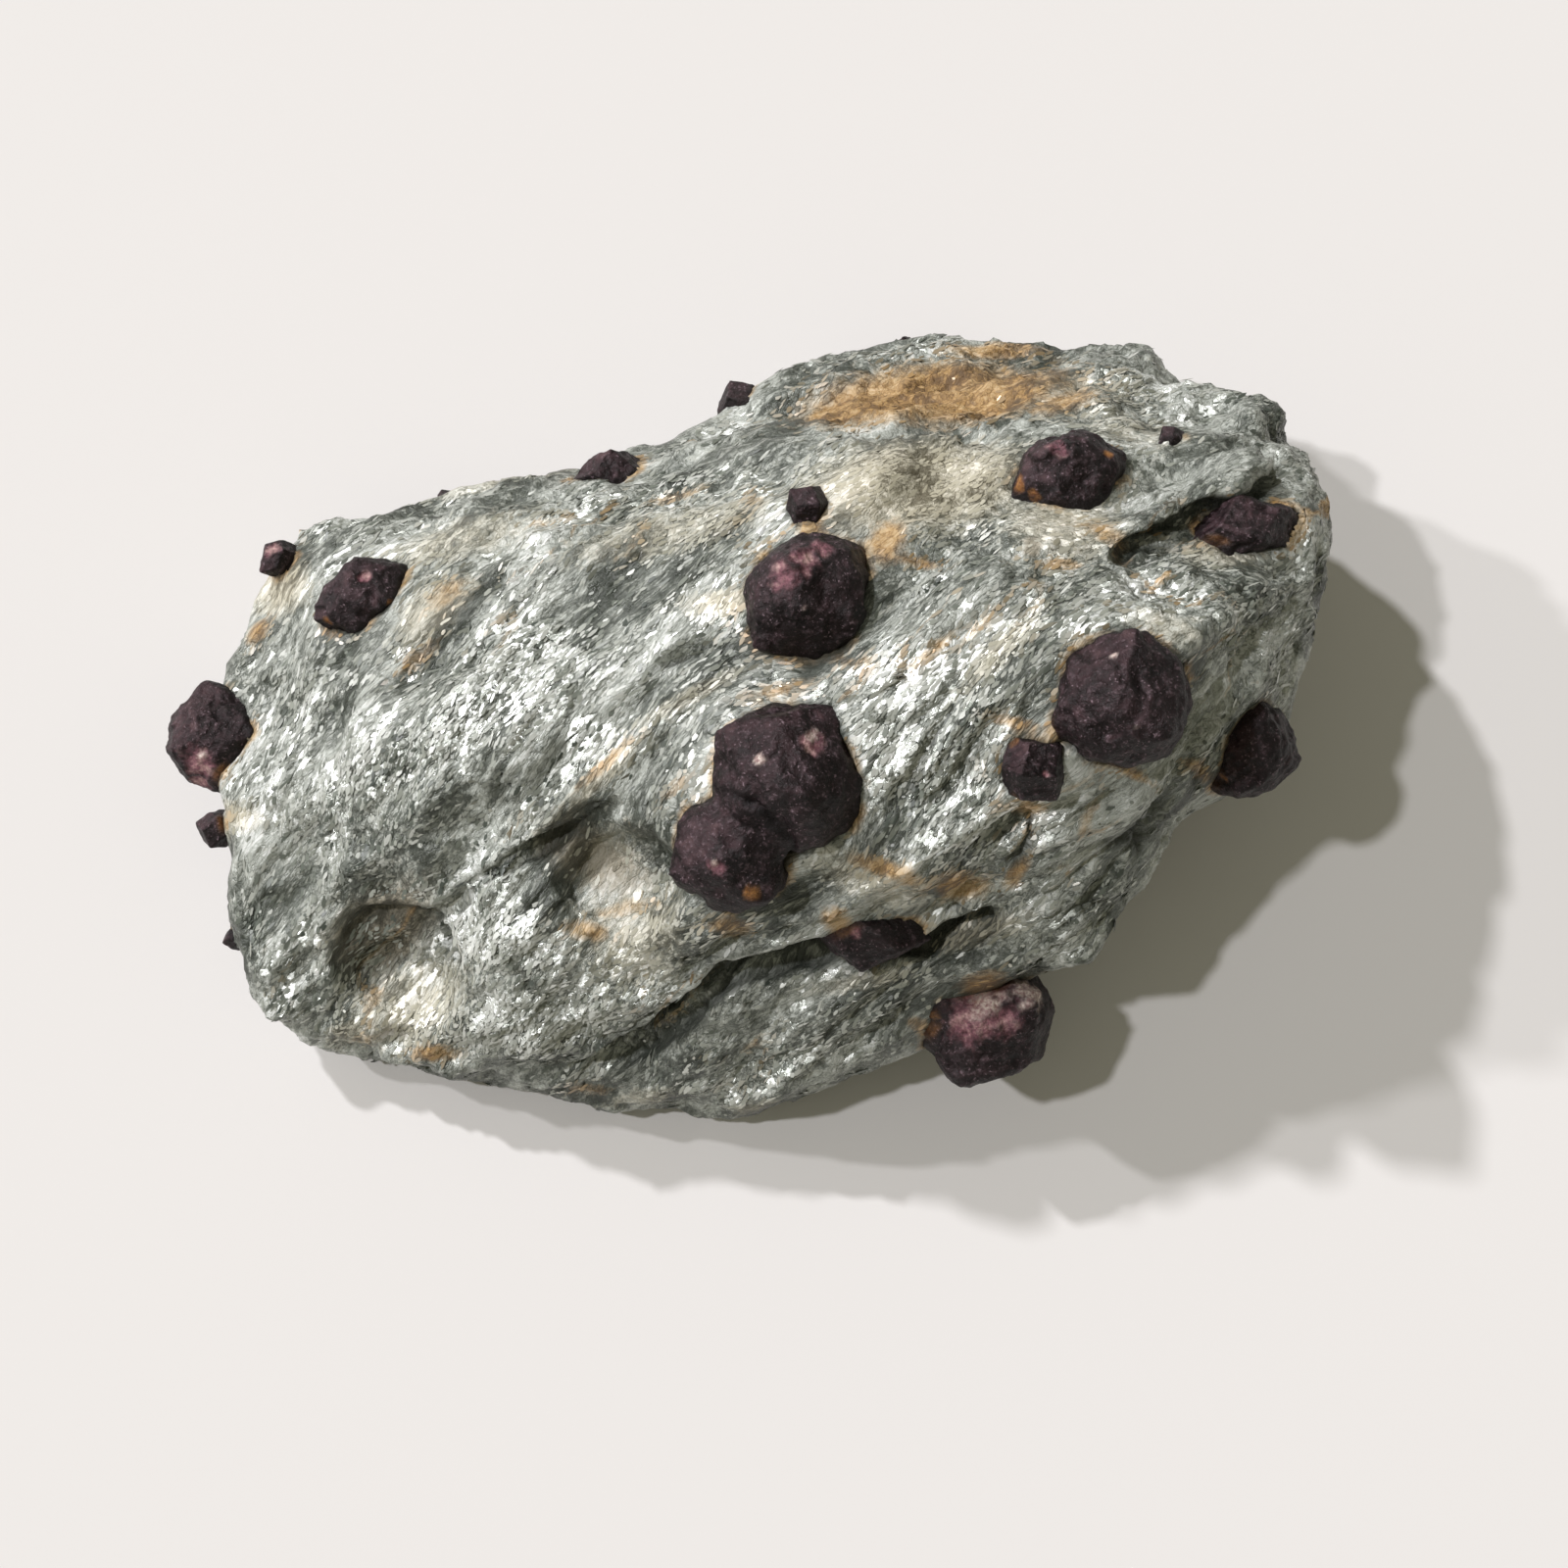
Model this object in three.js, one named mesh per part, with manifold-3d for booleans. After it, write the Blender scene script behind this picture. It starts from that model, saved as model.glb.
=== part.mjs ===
// A hand specimen of garnet mica schist: one lump of silvery green schist with garnet crystals
// set in it. Millimetres, +Z up. The origin is on the surface the stone rests on, under the middle
// of its bounding box; +X runs along the stone's length.
import * as THREE from 'three';
import { mergeVertices } from 'three/addons/utils/BufferGeometryUtils.js';
import { ConvexGeometry } from 'three/addons/geometries/ConvexGeometry.js';
import Module from 'manifold-3d';

const wasm = await Module();
wasm.setup();

// Driving dimensions
const LENGTH = 110; // of the schist along X, which scales its outline
const WIDTH = 70; // of the schist along Y
const HEIGHT = 40; // of the schist at its highest swell, garnets not counted
const SOCKET_GAP = 0.15; // clearance all round a garnet in its socket
const BEVELLED_FROM = 4.1; // radius from which a garnet's edges are bevelled
const FACET = 2.8; // side of a typical facet on the schist

// The stone's widest line seen from above, counterclockwise from the right-hand end:
// [x, y, height of that line above the table], for a stone of the length and width below it.
const OUTLINE = [
  [54.4, 6.4, 20], [54.4, 11.2, 17], [54.6, 15.2, 14], [52.8, 18.2, 13], [49.6, 20.8, 12],
  [46, 21.8, 12], [45.6, 26, 10], [43.4, 27.8, 10], [38, 29, 11], [34.6, 30.4, 12], [28.8, 31.8, 12],
  [23.4, 33.4, 12], [19.8, 34.6, 12], [17.4, 34.6, 12], [12.6, 33.2, 13], [7.4, 32.4, 14],
  [2, 31.2, 14], [-2, 29.8, 14], [-6, 29, 14], [-11.8, 28.2, 14], [-14.6, 29.4, 14],
  [-20, 30.2, 14], [-27, 30.2, 14], [-33, 30, 13], [-38.4, 30.2, 13], [-41.8, 28.4, 12],
  [-44.4, 26.8, 11], [-46.8, 22, 11], [-49.8, 18.2, 10], [-51, 13, 9], [-52.4, 6.6, 8],
  [-53.2, 1.6, 7], [-54.8, -4.4, 7], [-55, -11, 6], [-52.6, -15.6, 5], [-48, -18.4, 4],
  [-43.8, -21.6, 4], [-38.4, -24.2, 4], [-33.6, -24.8, 4], [-31, -26.4, 5], [-28.8, -28, 4],
  [-24, -30.6, 4], [-17.6, -32.4, 4], [-13, -34.8, 4], [-7.4, -34, 4], [-1, -33.4, 5],
  [6, -33, 7], [12, -31, 11], [17.4, -29.2, 16], [19.4, -30, 20], [22.4, -29.8, 21],
  [24.4, -27.8, 21], [26.6, -25.6, 21], [29.2, -24.2, 21], [31.8, -21.2, 21], [33.6, -19.4, 21],
  [36.2, -18.6, 21], [39.8, -18.6, 21], [43.8, -17, 22], [45.8, -13.6, 22], [47, -10, 23],
  [49.6, -6, 23], [51.8, -2.4, 23], [53.6, 1.6, 22],
];
const OUTLINE_LENGTH = 110;
const OUTLINE_WIDTH = 70;

// Height of the schist's top, as a map over the same stone: one line per row of Y from back to
// front, one number per column of X from left to right. The middle number is over the origin.
const MAP_STEP_X = 12;
const MAP_STEP_Y = 8;
const MAP_MIDDLE = 4;
const TOP_MAP = [
  [9, 13, 14, 15, 15, 15, 14, 12, 10], // y = +32
  [12, 18, 21, 22, 23, 24, 22, 19, 16],
  [14, 22, 26, 28, 31, 33, 30, 27, 23],
  [15, 24, 29, 32, 35, 36, 35, 33, 29],
  [16, 24, 30, 33, 36, 38, 40, 37, 31], // y = 0
  [14, 21, 27, 32, 36, 38, 40, 38, 30],
  [10, 16, 22, 28, 32, 34, 36, 32, 25],
  [7, 11, 15, 21, 24, 27, 27, 22, 18],
  [4, 6, 8, 12, 16, 20, 22, 18, 14], // y = -32
];
const MAP_TOP = 40; // the map's highest number, which HEIGHT scales

// Ledges, where an upper layer of schist ends and the top steps down towards the front: path from
// left to right, drop in mm, reach over which the drop fades away, and undercut, which is how far
// the foot of the step lies in under the lip. A gutter along the foot takes part of the drop.
const LEDGES = [
  { path: [[-32, -29], [-28, -27.4], [-23, -26], [-18, -25], [-14.5, -23.8], [-11, -22.2], [-3.5, -22],
    [2, -23], [7, -24], [13, -23.6], [17, -24.6]],
    drop: 5.4, reach: 12, undercut: 3 },
  { path: [[-40, -10.6], [-37.3, -10.2], [-30, -8.6], [-24, -7.4], [-18, -7], [-14, -5.2]],
    drop: 2.8, reach: 8, undercut: 1.2 },
  { path: [[29, 1.6], [32, 3], [35.2, 4.4], [38.7, 5], [41.6, 6.2], [47, 6.8], [50, 8.2], [58, 13]],
    drop: 3.6, reach: 8, undercut: 1.8 },
  { path: [[-1.4, -1.4], [2, -2.4], [5.4, -4], [9.2, -3.4], [13, -1.4]],
    drop: 1.6, reach: 4, undercut: 0.8 },
];

// Faces where the lump broke off flat: a point on each face, and the way that it faces.
const BREAKS = [
  { at: [45, 0, 8], facing: [0.7, 0.06, -0.7] },
  { at: [32, -20.4, 27], facing: [0.5, -0.62, 0.6] },
  { at: [37, -15, 8], facing: [0.5, -0.55, -0.66] },
  { at: [24, 27.6, 20], facing: [0.06, 0.78, 0.62] },
  { at: [14, 31.6, 5], facing: [0.1, 0.86, -0.5] },
  { at: [-28, 29, 6], facing: [-0.1, 0.9, -0.42] },
  { at: [-50.6, -8, 2], facing: [-0.76, -0.2, -0.62] },
  { at: [-49.4, 12, 14], facing: [-0.72, 0.3, 0.62] },
  { at: [48.6, 14, 26], facing: [0.72, 0.36, 0.6] },
  { at: [-8, -33.4, 2], facing: [0, -0.78, -0.62] },
  { at: [-40, -22.4, 3], facing: [-0.4, -0.74, -0.5] },
  { at: [-50, 21, 6], facing: [-0.8, 0.42, -0.4] },
  { at: [51.4, 10, 10], facing: [0.86, 0.3, -0.42] },
  { at: [40, 26.4, 6], facing: [0.5, 0.76, -0.4] },
  { at: [8, -31.4, 6], facing: [0.2, -0.9, -0.38] },
  { at: [50, -4, 26], facing: [0.86, -0.3, 0.42] },
];

// Lumps (rise above 0) and hollows (below 0) of the top: place, half lengths, turn in degrees.
const RELIEF = [
  { x: -40.7, y: -14.5, along: 8.5, across: 7.6, turn: 15, rise: -1.6 }, // sag round the lost garnet
  { x: -29.5, y: -13.5, along: 8, across: 3.6, turn: 55, rise: 2.2 }, // rib between the moulds
  { x: -11.5, y: -19.5, along: 7, across: 2.6, turn: 25, rise: 1.6 }, // lip over the front ledge
  { x: 10, y: -17.6, along: 11, across: 2.6, turn: 12, rise: 2 }, // rusty rib
  { x: 11, y: -22.6, along: 6.5, across: 2.4, turn: 8, rise: -2.6 }, // hollow in front of it
  { x: 46, y: 11, along: 9, across: 4.4, turn: 18, rise: 2.2 }, // lobe over the back crack
  { x: 25, y: 25, along: 13, across: 4, turn: 8, rise: -1.2 }, // flat rusty face at the back
  { x: -31, y: 6, along: 12, across: 3, turn: 10, rise: 1 },
  { x: -20, y: 17, along: 12, across: 3, turn: 4, rise: 0.8 },
  { x: 14, y: -10, along: 8, across: 3, turn: 32, rise: 1 },
  { x: 31, y: -22, along: 7, across: 2.4, turn: 40, rise: 1 },
];

// Moulds that lost garnets left in the top, given as the garnets below are.
const MOULDS = [
  { x: -40.6, y: -14.4, lift: 3.2, radius: 7.2, turn: [20, 12, 30], seed: 41 },
  { x: -19.4, y: -13.6, lift: 3.6, radius: 6.8, turn: [8, 24, 5], seed: 43 },
];

// Cracks that run down into the schist: path over the top, mouth width, depth, and lean, which is
// how far the crack's root lies to the left of its mouth when walking along the path.
const CRACKS = [
  { path: [[18.9, -16.4], [18.4, -18], [17.6, -19.8], [16.2, -21.2]], mouth: 0.9, depth: 2.2, lean: 0.3 },
  { path: [[30, -18.6], [29.4, -20.4], [29.8, -22.4]], mouth: 0.8, depth: 1.6, lean: 0.2 },
];

// Garnets: name, centre, mean radius, stretch of the crystal's own axes, turn in degrees, and a
// number that picks its irregularities. lift is the centre's height over the schist around it;
// crystals that stand out of a wall have a height above the table instead.
const GARNETS = [
  { name: 'garnet_left_edge', x: -51, y: 12.6, height: 10.4, radius: 4.8, turn: [20, 35, 10], seed: 3 },
  { name: 'garnet_left_chip', x: -53.6, y: 5.2, height: 6.4, radius: 1.7, turn: [0, 20, 60], seed: 9 },
  { name: 'garnet_left_speck', x: -54.5, y: -5.6, height: 6.6, radius: 1, turn: [30, 0, 0], seed: 12 },
  { name: 'garnet_corner', x: -41.2, y: 27.4, height: 14, radius: 1.7, stretch: [1.15, 0.85, 0.9],
    turn: [0, 25, 28], seed: 5 },
  { name: 'garnet_upper_left', x: -33.6, y: 20, lift: -0.9, radius: 4.2, stretch: [1.14, 0.82, 0.9],
    turn: [30, 12, 12], seed: 21 },
  { name: 'garnet_back_edge', x: -8.7, y: 26, height: 17.4, radius: 2.7, stretch: [1.2, 0.85, 0.9],
    turn: [45, 8, -6], seed: 14 },
  { name: 'garnet_back_rim', x: 5, y: 31, height: 12.4, radius: 2.1, turn: [15, 15, 15], seed: 8 },
  { name: 'garnet_small_centre', x: 7.1, y: 14.5, lift: -0.3, radius: 1.8, turn: [25, 10, 40], seed: 2 },
  { name: 'garnet_centre', x: 4.8, y: 6, lift: -0.7, radius: 5.6, stretch: [1.06, 0.95, 1],
    turn: [-28, 8, 28], seed: 17 },
  { name: 'garnet_pair', x: -1, y: -9, lift: -1.5, radius: 6.6, turn: [22, -14, 40], seed: 6,
    grown_with: { x: -7.3, y: -13.4, lift: -1, radius: 5.4, turn: [65, 20, 12], seed: 11 } },
  { name: 'garnet_back_right', x: 30.5, y: 11.6, lift: -0.8, radius: 4.7, stretch: [1.06, 0.84, 0.9],
    turn: [-25, 5, 8], seed: 23 },
  { name: 'garnet_back_speck', x: 41.1, y: 13.5, lift: -0.1, radius: 1.1, turn: [0, 0, 15], seed: 4 },
  { name: 'garnet_crack', x: 44.5, y: 2.9, lift: -1.6, radius: 3.6, stretch: [1.36, 0.72, 0.9],
    turn: [30, 12, 4], seed: 19 },
  { name: 'garnet_right', x: 28.6, y: -10.4, lift: -1.3, radius: 6, turn: [48, 22, 5], seed: 7 },
  { name: 'garnet_right_small', x: 19.6, y: -14, lift: -0.9, radius: 2.75, turn: [10, 62, 30], seed: 13 },
  { name: 'garnet_right_edge', x: 40.2, y: -15, height: 23.4, radius: 4.7, turn: [12, 33, 74], seed: 16 },
  { name: 'garnet_front', x: 2.8, y: -22.4, height: 23, radius: 3.5, stretch: [1.25, 0.8, 0.9],
    turn: [0, 0, -22], seed: 10 },
  { name: 'garnet_front_edge', x: 11.8, y: -31.6, height: 12.4, radius: 6.2, turn: [33, 18, 52], seed: 15 },
  // on the sides that face away or down
  { name: 'garnet_back_wall', x: 22, y: 31.4, height: 5.8, radius: 3.6, turn: [50, 12, 8], seed: 31 },
  { name: 'garnet_back_left', x: -24, y: 27.8, height: 7, radius: 3.1, turn: [5, 44, 18], seed: 33 },
  { name: 'garnet_right_wall', x: 47.6, y: 6.4, height: 9.2, radius: 4.2, turn: [38, 2, 61], seed: 35 },
  { name: 'garnet_under', x: 33.4, y: -10.6, height: 8.4, radius: 4.6, turn: [14, 26, 47], seed: 37 },
];

// ---- small helpers ------------------------------------------------------------------------------

// A steady random number from 0 to 1 for whole numbers a, b, c.
function lattice(a, b, c) {
  let h = Math.imul(a, 374761393) + Math.imul(b, 668265263) + Math.imul(c, 1442695041);
  h = Math.imul(h ^ (h >>> 13), 1274126177);
  return ((h ^ (h >>> 16)) >>> 0) / 4294967296;
}

// Smooth noise from -1 to 1, with lumps about one unit across.
function noise(x, y, z) {
  const [i, j, k] = [Math.floor(x), Math.floor(y), Math.floor(z)];
  const ease = (t) => t * t * (3 - 2 * t);
  const [u, v, w] = [ease(x - i), ease(y - j), ease(z - k)];
  let sum = 0;
  for (let corner = 0; corner < 8; corner += 1) {
    const [a, b, c] = [corner & 1, (corner >> 1) & 1, corner >> 2];
    const weight = (a ? u : 1 - u) * (b ? v : 1 - v) * (c ? w : 1 - w);
    sum += weight * lattice(i + a, j + b, k + c);
  }
  return 2 * sum - 1;
}

// Cubic through b and c at t = 0 and 1, with a before them and d after.
function cubic(a, b, c, d, t) {
  return b + 0.5 * t * (c - a + t * (2 * a - 5 * b + 4 * c - d + t * (3 * (b - c) + d - a)));
}

// Distance from a point to an open path.
function distanceToPath(x, y, path) {
  let nearest = Infinity;
  for (let i = 0; i + 1 < path.length; i += 1) {
    const [ax, ay] = path[i];
    const [dx, dy] = [path[i + 1][0] - ax, path[i + 1][1] - ay];
    const t = THREE.MathUtils.clamp(((x - ax) * dx + (y - ay) * dy) / (dx * dx + dy * dy), 0, 1);
    nearest = Math.min(nearest, Math.hypot(x - ax - t * dx, y - ay - t * dy));
  }
  return nearest;
}

// ---- the schist's outer surface -----------------------------------------------------------------

const SCALE_X = LENGTH / OUTLINE_LENGTH;
const SCALE_Y = WIDTH / OUTLINE_WIDTH;
const SCALE_Z = HEIGHT / MAP_TOP;
const outlineCurve = new THREE.CatmullRomCurve3(
  OUTLINE.map(([x, y, z]) => new THREE.Vector3(x * SCALE_X, y * SCALE_Y, z * SCALE_Z)),
  true,
  'centripetal',
);
const PERIMETER = outlineCurve.getLength();
const closedOutline = outlineCurve.getSpacedPoints(Math.round(PERIMETER / FACET)).map((p) => [p.x, p.y]);

function mapHeight(x, y) {
  const last = 2 * MAP_MIDDLE;
  const column = THREE.MathUtils.clamp(MAP_MIDDLE + x / (MAP_STEP_X * SCALE_X), 0, last - 0.001);
  const row = THREE.MathUtils.clamp(MAP_MIDDLE - y / (MAP_STEP_Y * SCALE_Y), 0, last - 0.001);
  const [i, j] = [Math.floor(column), Math.floor(row)];
  const at = (r, c) => TOP_MAP[THREE.MathUtils.clamp(r, 0, last)][THREE.MathUtils.clamp(c, 0, last)];
  const rows = [j - 1, j, j + 1, j + 2].map(
    (r) => cubic(at(r, i - 1), at(r, i), at(r, i + 1), at(r, i + 2), column - i),
  );
  return cubic(...rows, row - j) * SCALE_Z;
}

function reliefRise(x, y) {
  let rise = 0;
  for (const lump of RELIEF) {
    const turn = THREE.MathUtils.degToRad(lump.turn);
    const [dx, dy] = [x - lump.x, y - lump.y];
    const p = (dx * Math.cos(turn) + dy * Math.sin(turn)) / lump.along;
    const q = (dy * Math.cos(turn) - dx * Math.sin(turn)) / lump.across;
    rise += lump.rise * Math.exp(-((p * p + q * q) ** 1.5));
  }
  return rise;
}

// Long low folds of the mica layers, which turn from along the stone at the back left to a slant at
// the front right.
function foldRise(x, y) {
  const turn = THREE.MathUtils.degToRad(12 + 0.22 * x - 0.3 * y);
  const along = x * Math.cos(turn) + y * Math.sin(turn);
  const across = y * Math.cos(turn) - x * Math.sin(turn);
  return 0.75 * noise(along / 15, across / 6.5, 3) + 0.45 * noise(along / 7, across / 3.2, 8);
}

function topHeight(x, y) {
  return mapHeight(x, y) + reliefRise(x, y) + foldRise(x, y);
}

const LAYER_TILT = 0.25; // the mica layers rise by this much for each mm to the right
const SHOULDER = 6; // how far in from the widest line the top rounds over

function topPoint(edge, reach) {
  const [x, y] = [edge.x * reach, edge.y * reach];
  const inward = Math.min(1, distanceToPath(x, y, closedOutline) / SHOULDER);
  const rounding = Math.sqrt(1 - (1 - inward) ** 2);
  return new THREE.Vector3(x, y, edge.z + (topHeight(x, y) - edge.z) * (reach < 1 ? rounding : 0));
}

// The wall curves in below the widest line to the flat resting face; the higher the line, the
// further in the face lies.
function underPoint(edge, angle) {
  const foot = 0.88 - 0.02 * edge.z;
  const reach = foot + (1 - foot) * Math.cos(angle) ** 1.15;
  return new THREE.Vector3(edge.x * reach, edge.y * reach, edge.z * (1 - Math.sin(angle)));
}

// Broken, layered roughness pushed into every point that is clear of the resting face.
function roughen(point) {
  const fade = Math.min(1, point.z / 3);
  const layer = point.z - LAYER_TILT * point.x;
  const [x, y] = [point.x, point.y];
  const push = (part) => {
    const coarse = 0.9 * noise(x / 9, y / 9, layer / 5 + part);
    const fine = 0.7 * noise(x / 4, y / 4, layer / 2.2 + part);
    return fade * (coarse + fine);
  };
  point.x += push(20);
  point.y += push(40);
  return point;
}

// A closed surface from rings of points, each given as a function of the outline's point.
function ringSurface(rings) {
  const positions = [];
  const faces = [];
  const add = (p) => positions.push(p.x, p.y, p.z) / 3 - 1;
  let previous = [add(rings[0].at(new THREE.Vector3()))];
  for (const ring of rings.slice(1)) {
    const current = [];
    for (let i = 0; i < ring.count; i += 1) {
      current.push(add(ring.at(outlineCurve.getPointAt(i / ring.count))));
    }
    let [i, j] = [0, 0];
    while (i < current.length || j < previous.length) {
      const [here, there] = [current[i % current.length], previous[j % previous.length]];
      if ((i + 1) / current.length <= (j + 1) / previous.length || previous.length === 1) {
        if (i === current.length) break;
        faces.push(there, here, current[(i + 1) % current.length]);
        i += 1;
      } else {
        faces.push(there, here, previous[(j + 1) % previous.length]);
        j += 1;
      }
    }
    previous = current;
  }
  const geometry = new THREE.BufferGeometry();
  geometry.setAttribute('position', new THREE.Float32BufferAttribute(positions, 3));
  geometry.setIndex(faces);
  return geometry;
}

function schistSurface() {
  const rings = [];
  const topRings = 19;
  const wallRings = 5;
  const footRings = 3;
  for (let k = 0; k <= topRings; k += 1) {
    const t = k / topRings;
    const reach = 0.6 * t + 0.4 * Math.sin(t * Math.PI / 2);
    const count = k ? Math.max(6, Math.round(reach * PERIMETER / FACET)) : 1;
    rings.push({ count, at: (edge) => roughen(topPoint(edge, k === topRings ? 1 : reach)) });
  }
  for (let k = 1; k <= wallRings; k += 1) {
    const angle = k / wallRings * Math.PI / 2;
    const count = Math.round(PERIMETER / FACET * (1 - 0.45 * k / wallRings));
    rings.push({ count, at: (edge) => roughen(underPoint(edge, angle)) });
  }
  for (let k = 1; k <= footRings; k += 1) {
    const share = 1 - k / (footRings + 1);
    const at = (edge) => underPoint(edge, Math.PI / 2).multiply(new THREE.Vector3(share, share, 0));
    rings.push({ count: Math.round(30 * share) + 6, at });
  }
  rings.push({ count: 1, at: () => new THREE.Vector3(0, 0, 0) });
  return ringSurface(rings);
}

// ---- solids -------------------------------------------------------------------------------------

function toSolid(geometry) {
  geometry.deleteAttribute('normal');
  geometry.deleteAttribute('uv');
  const merged = mergeVertices(geometry, 1e-5);
  return new wasm.Manifold(new wasm.Mesh({
    numProp: 3,
    vertProperties: new Float32Array(merged.attributes.position.array),
    triVerts: new Uint32Array(merged.index.array),
  }));
}

function toGeometry(solid) {
  const mesh = solid.getMesh();
  const geometry = new THREE.BufferGeometry();
  geometry.setAttribute('position', new THREE.BufferAttribute(mesh.vertProperties, 3));
  geometry.setIndex(new THREE.BufferAttribute(mesh.triVerts, 1));
  geometry.computeVertexNormals();
  return geometry;
}

// The corners of the solid that lies behind every plane of a list.
function cornersOf(planes) {
  const corners = [];
  const matrix = new THREE.Matrix3();
  for (let i = 0; i < planes.length; i += 1) {
    for (let j = i + 1; j < planes.length; j += 1) {
      for (let k = j + 1; k < planes.length; k += 1) {
        const [a, b, c] = [planes[i], planes[j], planes[k]];
        matrix.set(...a.normal, ...b.normal, ...c.normal);
        if (Math.abs(matrix.determinant()) < 1e-4) continue;
        const corner = new THREE.Vector3(-a.constant, -b.constant, -c.constant);
        corner.applyMatrix3(matrix.invert());
        if (planes.every((plane) => plane.distanceToPoint(corner) < 1e-6)) corners.push(corner);
      }
    }
  }
  return corners;
}

// A garnet's twelve rhombic faces, and the twenty-four narrow ones that bevel their edges.
const FACE_DIRECTIONS = [];
for (let a = -2; a <= 2; a += 1) {
  for (let b = -2; b <= 2; b += 1) {
    for (let c = -2; c <= 2; c += 1) {
      const sizes = [a, b, c].map(Math.abs).sort().join('');
      if (sizes === '011') FACE_DIRECTIONS.push({ kind: 'rhomb', normal: new THREE.Vector3(a, b, c) });
      if (sizes === '112') FACE_DIRECTIONS.push({ kind: 'bevel', normal: new THREE.Vector3(a, b, c) });
    }
  }
}
for (const face of FACE_DIRECTIONS) face.normal.normalize();

function garnetSolid(garnet, clearance) {
  const [sx, sy, sz] = garnet.stretch ?? [1, 1, 1];
  const [rx, ry, rz] = garnet.turn.map(THREE.MathUtils.degToRad);
  const directions = FACE_DIRECTIONS.filter(({ kind }) => kind === 'rhomb' || garnet.radius > BEVELLED_FROM);
  const planes = directions.map(({ kind, normal }, i) => {
    const chance = lattice(garnet.seed, i, 77);
    const inset = kind === 'rhomb' ? 0.92 + 0.08 * chance : 0.95 + 0.09 * chance;
    return new THREE.Plane(normal, -(inset * garnet.radius + clearance));
  });
  const geometry = new ConvexGeometry(cornersOf(planes));
  const z = garnet.height ?? topHeight(garnet.x, garnet.y) + garnet.lift;
  geometry.scale(sx, sy, sz);
  geometry.applyMatrix4(new THREE.Matrix4().makeRotationFromEuler(new THREE.Euler(rx, ry, rz, 'ZYX')));
  geometry.translate(garnet.x, garnet.y, z);
  return toSolid(geometry);
}

function grownSolid(garnet, clearance) {
  const solid = garnetSolid(garnet, clearance);
  return garnet.grown_with ? solid.add(garnetSolid(garnet.grown_with, clearance)) : solid;
}

// A solid swept along a path over the top. section(ground, swell, share) gives its corners at one
// place, in order around, as [distance to the left of the path, height above the table]; ground
// gives the top's height at a distance to the left, and swell goes from near 0 at the ends to 1.
// Left is square to the line between the path's ends, so that no section crosses the next, and
// every other corner is in plain sight of the first.
function sweptSolid(path, section) {
  const curve = new THREE.CatmullRomCurve3(path.map(([x, y]) => new THREE.Vector3(x, y, 0)));
  const steps = Math.max(4, Math.round(curve.getLength() / FACET));
  const chord = curve.getPoint(1).sub(curve.getPoint(0)).normalize();
  const positions = [];
  const faces = [];
  let corners = 0;
  for (let i = 0; i <= steps; i += 1) {
    const p = curve.getPointAt(i / steps);
    const place = (left) => [p.x - chord.y * left, p.y + chord.x * left];
    const swell = Math.min(1, 0.08 + 1.5 * Math.sin(Math.PI * i / steps));
    const ring = section((left) => topHeight(...place(left)), swell);
    for (const [left, height] of ring) positions.push(...place(left), height);
    corners = ring.length;
  }
  for (let i = 0; i < steps; i += 1) {
    for (let side = 0; side < corners; side += 1) {
      const [a, b] = [corners * i + side, corners * i + (side + 1) % corners];
      faces.push(a, b + corners, b, a, a + corners, b + corners);
    }
  }
  for (let side = 1; side + 1 < corners; side += 1) {
    const last = corners * steps;
    faces.push(0, side, side + 1, last, last + side + 1, last + side);
  }
  const geometry = new THREE.BufferGeometry();
  geometry.setAttribute('position', new THREE.Float32BufferAttribute(positions, 3));
  geometry.setIndex(faces);
  return toSolid(geometry);
}

const CLEAR = 6; // how far above the top a cutting solid reaches

function crackSolid({ path, mouth, depth, lean }) {
  return sweptSolid(path, (ground, swell) => [
    [mouth * swell / 2, ground(0) + CLEAR],
    [lean * swell, ground(0) - depth * swell],
    [-mouth * swell, ground(0) + CLEAR],
  ]);
}

const GUTTER_DEPTH = 0.45; // share of a ledge's drop that only the gutter has
const GUTTER_WIDTH = 0.12; // share of a ledge's reach over which the gutter fades away
const SKIM = 0.3; // how far above the top a cut runs out, so that it leaves no sliver

function ledgeSolid({ path, drop, reach, undercut }) {
  return sweptSolid(path, (ground, swell) => {
    const width = reach * swell;
    const depth = (share) => {
      const slope = (1 - GUTTER_DEPTH) * (1 - share);
      const gutter = GUTTER_DEPTH * Math.exp(-((share / GUTTER_WIDTH) ** 2));
      return drop * swell * (slope + gutter) - SKIM * share;
    };
    const floor = (share) => [-share * width, ground(-share * width) - depth(share)];
    return [
      floor(0.04),
      floor(0.12),
      floor(0.22),
      floor(0.5),
      floor(0.75),
      floor(1),
      [-width, ground(-width) + CLEAR],
      [0, ground(0) + CLEAR],
      [0, ground(0) - SKIM * swell],
      [undercut * swell, ground(0) - drop * swell],
    ];
  });
}

// Everything in front of a flat face.
function breakSolid({ at, facing }) {
  const geometry = new THREE.BoxGeometry(2 * LENGTH, 2 * LENGTH, LENGTH);
  geometry.translate(0, 0, LENGTH / 2);
  const turn = new THREE.Quaternion();
  turn.setFromUnitVectors(new THREE.Vector3(0, 0, 1), new THREE.Vector3(...facing).normalize());
  geometry.applyQuaternion(turn);
  geometry.translate(...at);
  return toSolid(geometry);
}

// ---- the specimen -------------------------------------------------------------------------------

const schistMaterial = new THREE.MeshStandardMaterial({ color: '#7f8c86', roughness: 0.55, metalness: 0.1 });
schistMaterial.flatShading = true;
const garnetMaterial = new THREE.MeshStandardMaterial({ color: '#3b2a31', roughness: 0.6, metalness: 0 });
garnetMaterial.flatShading = true;

const specimen = new THREE.Group();

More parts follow.
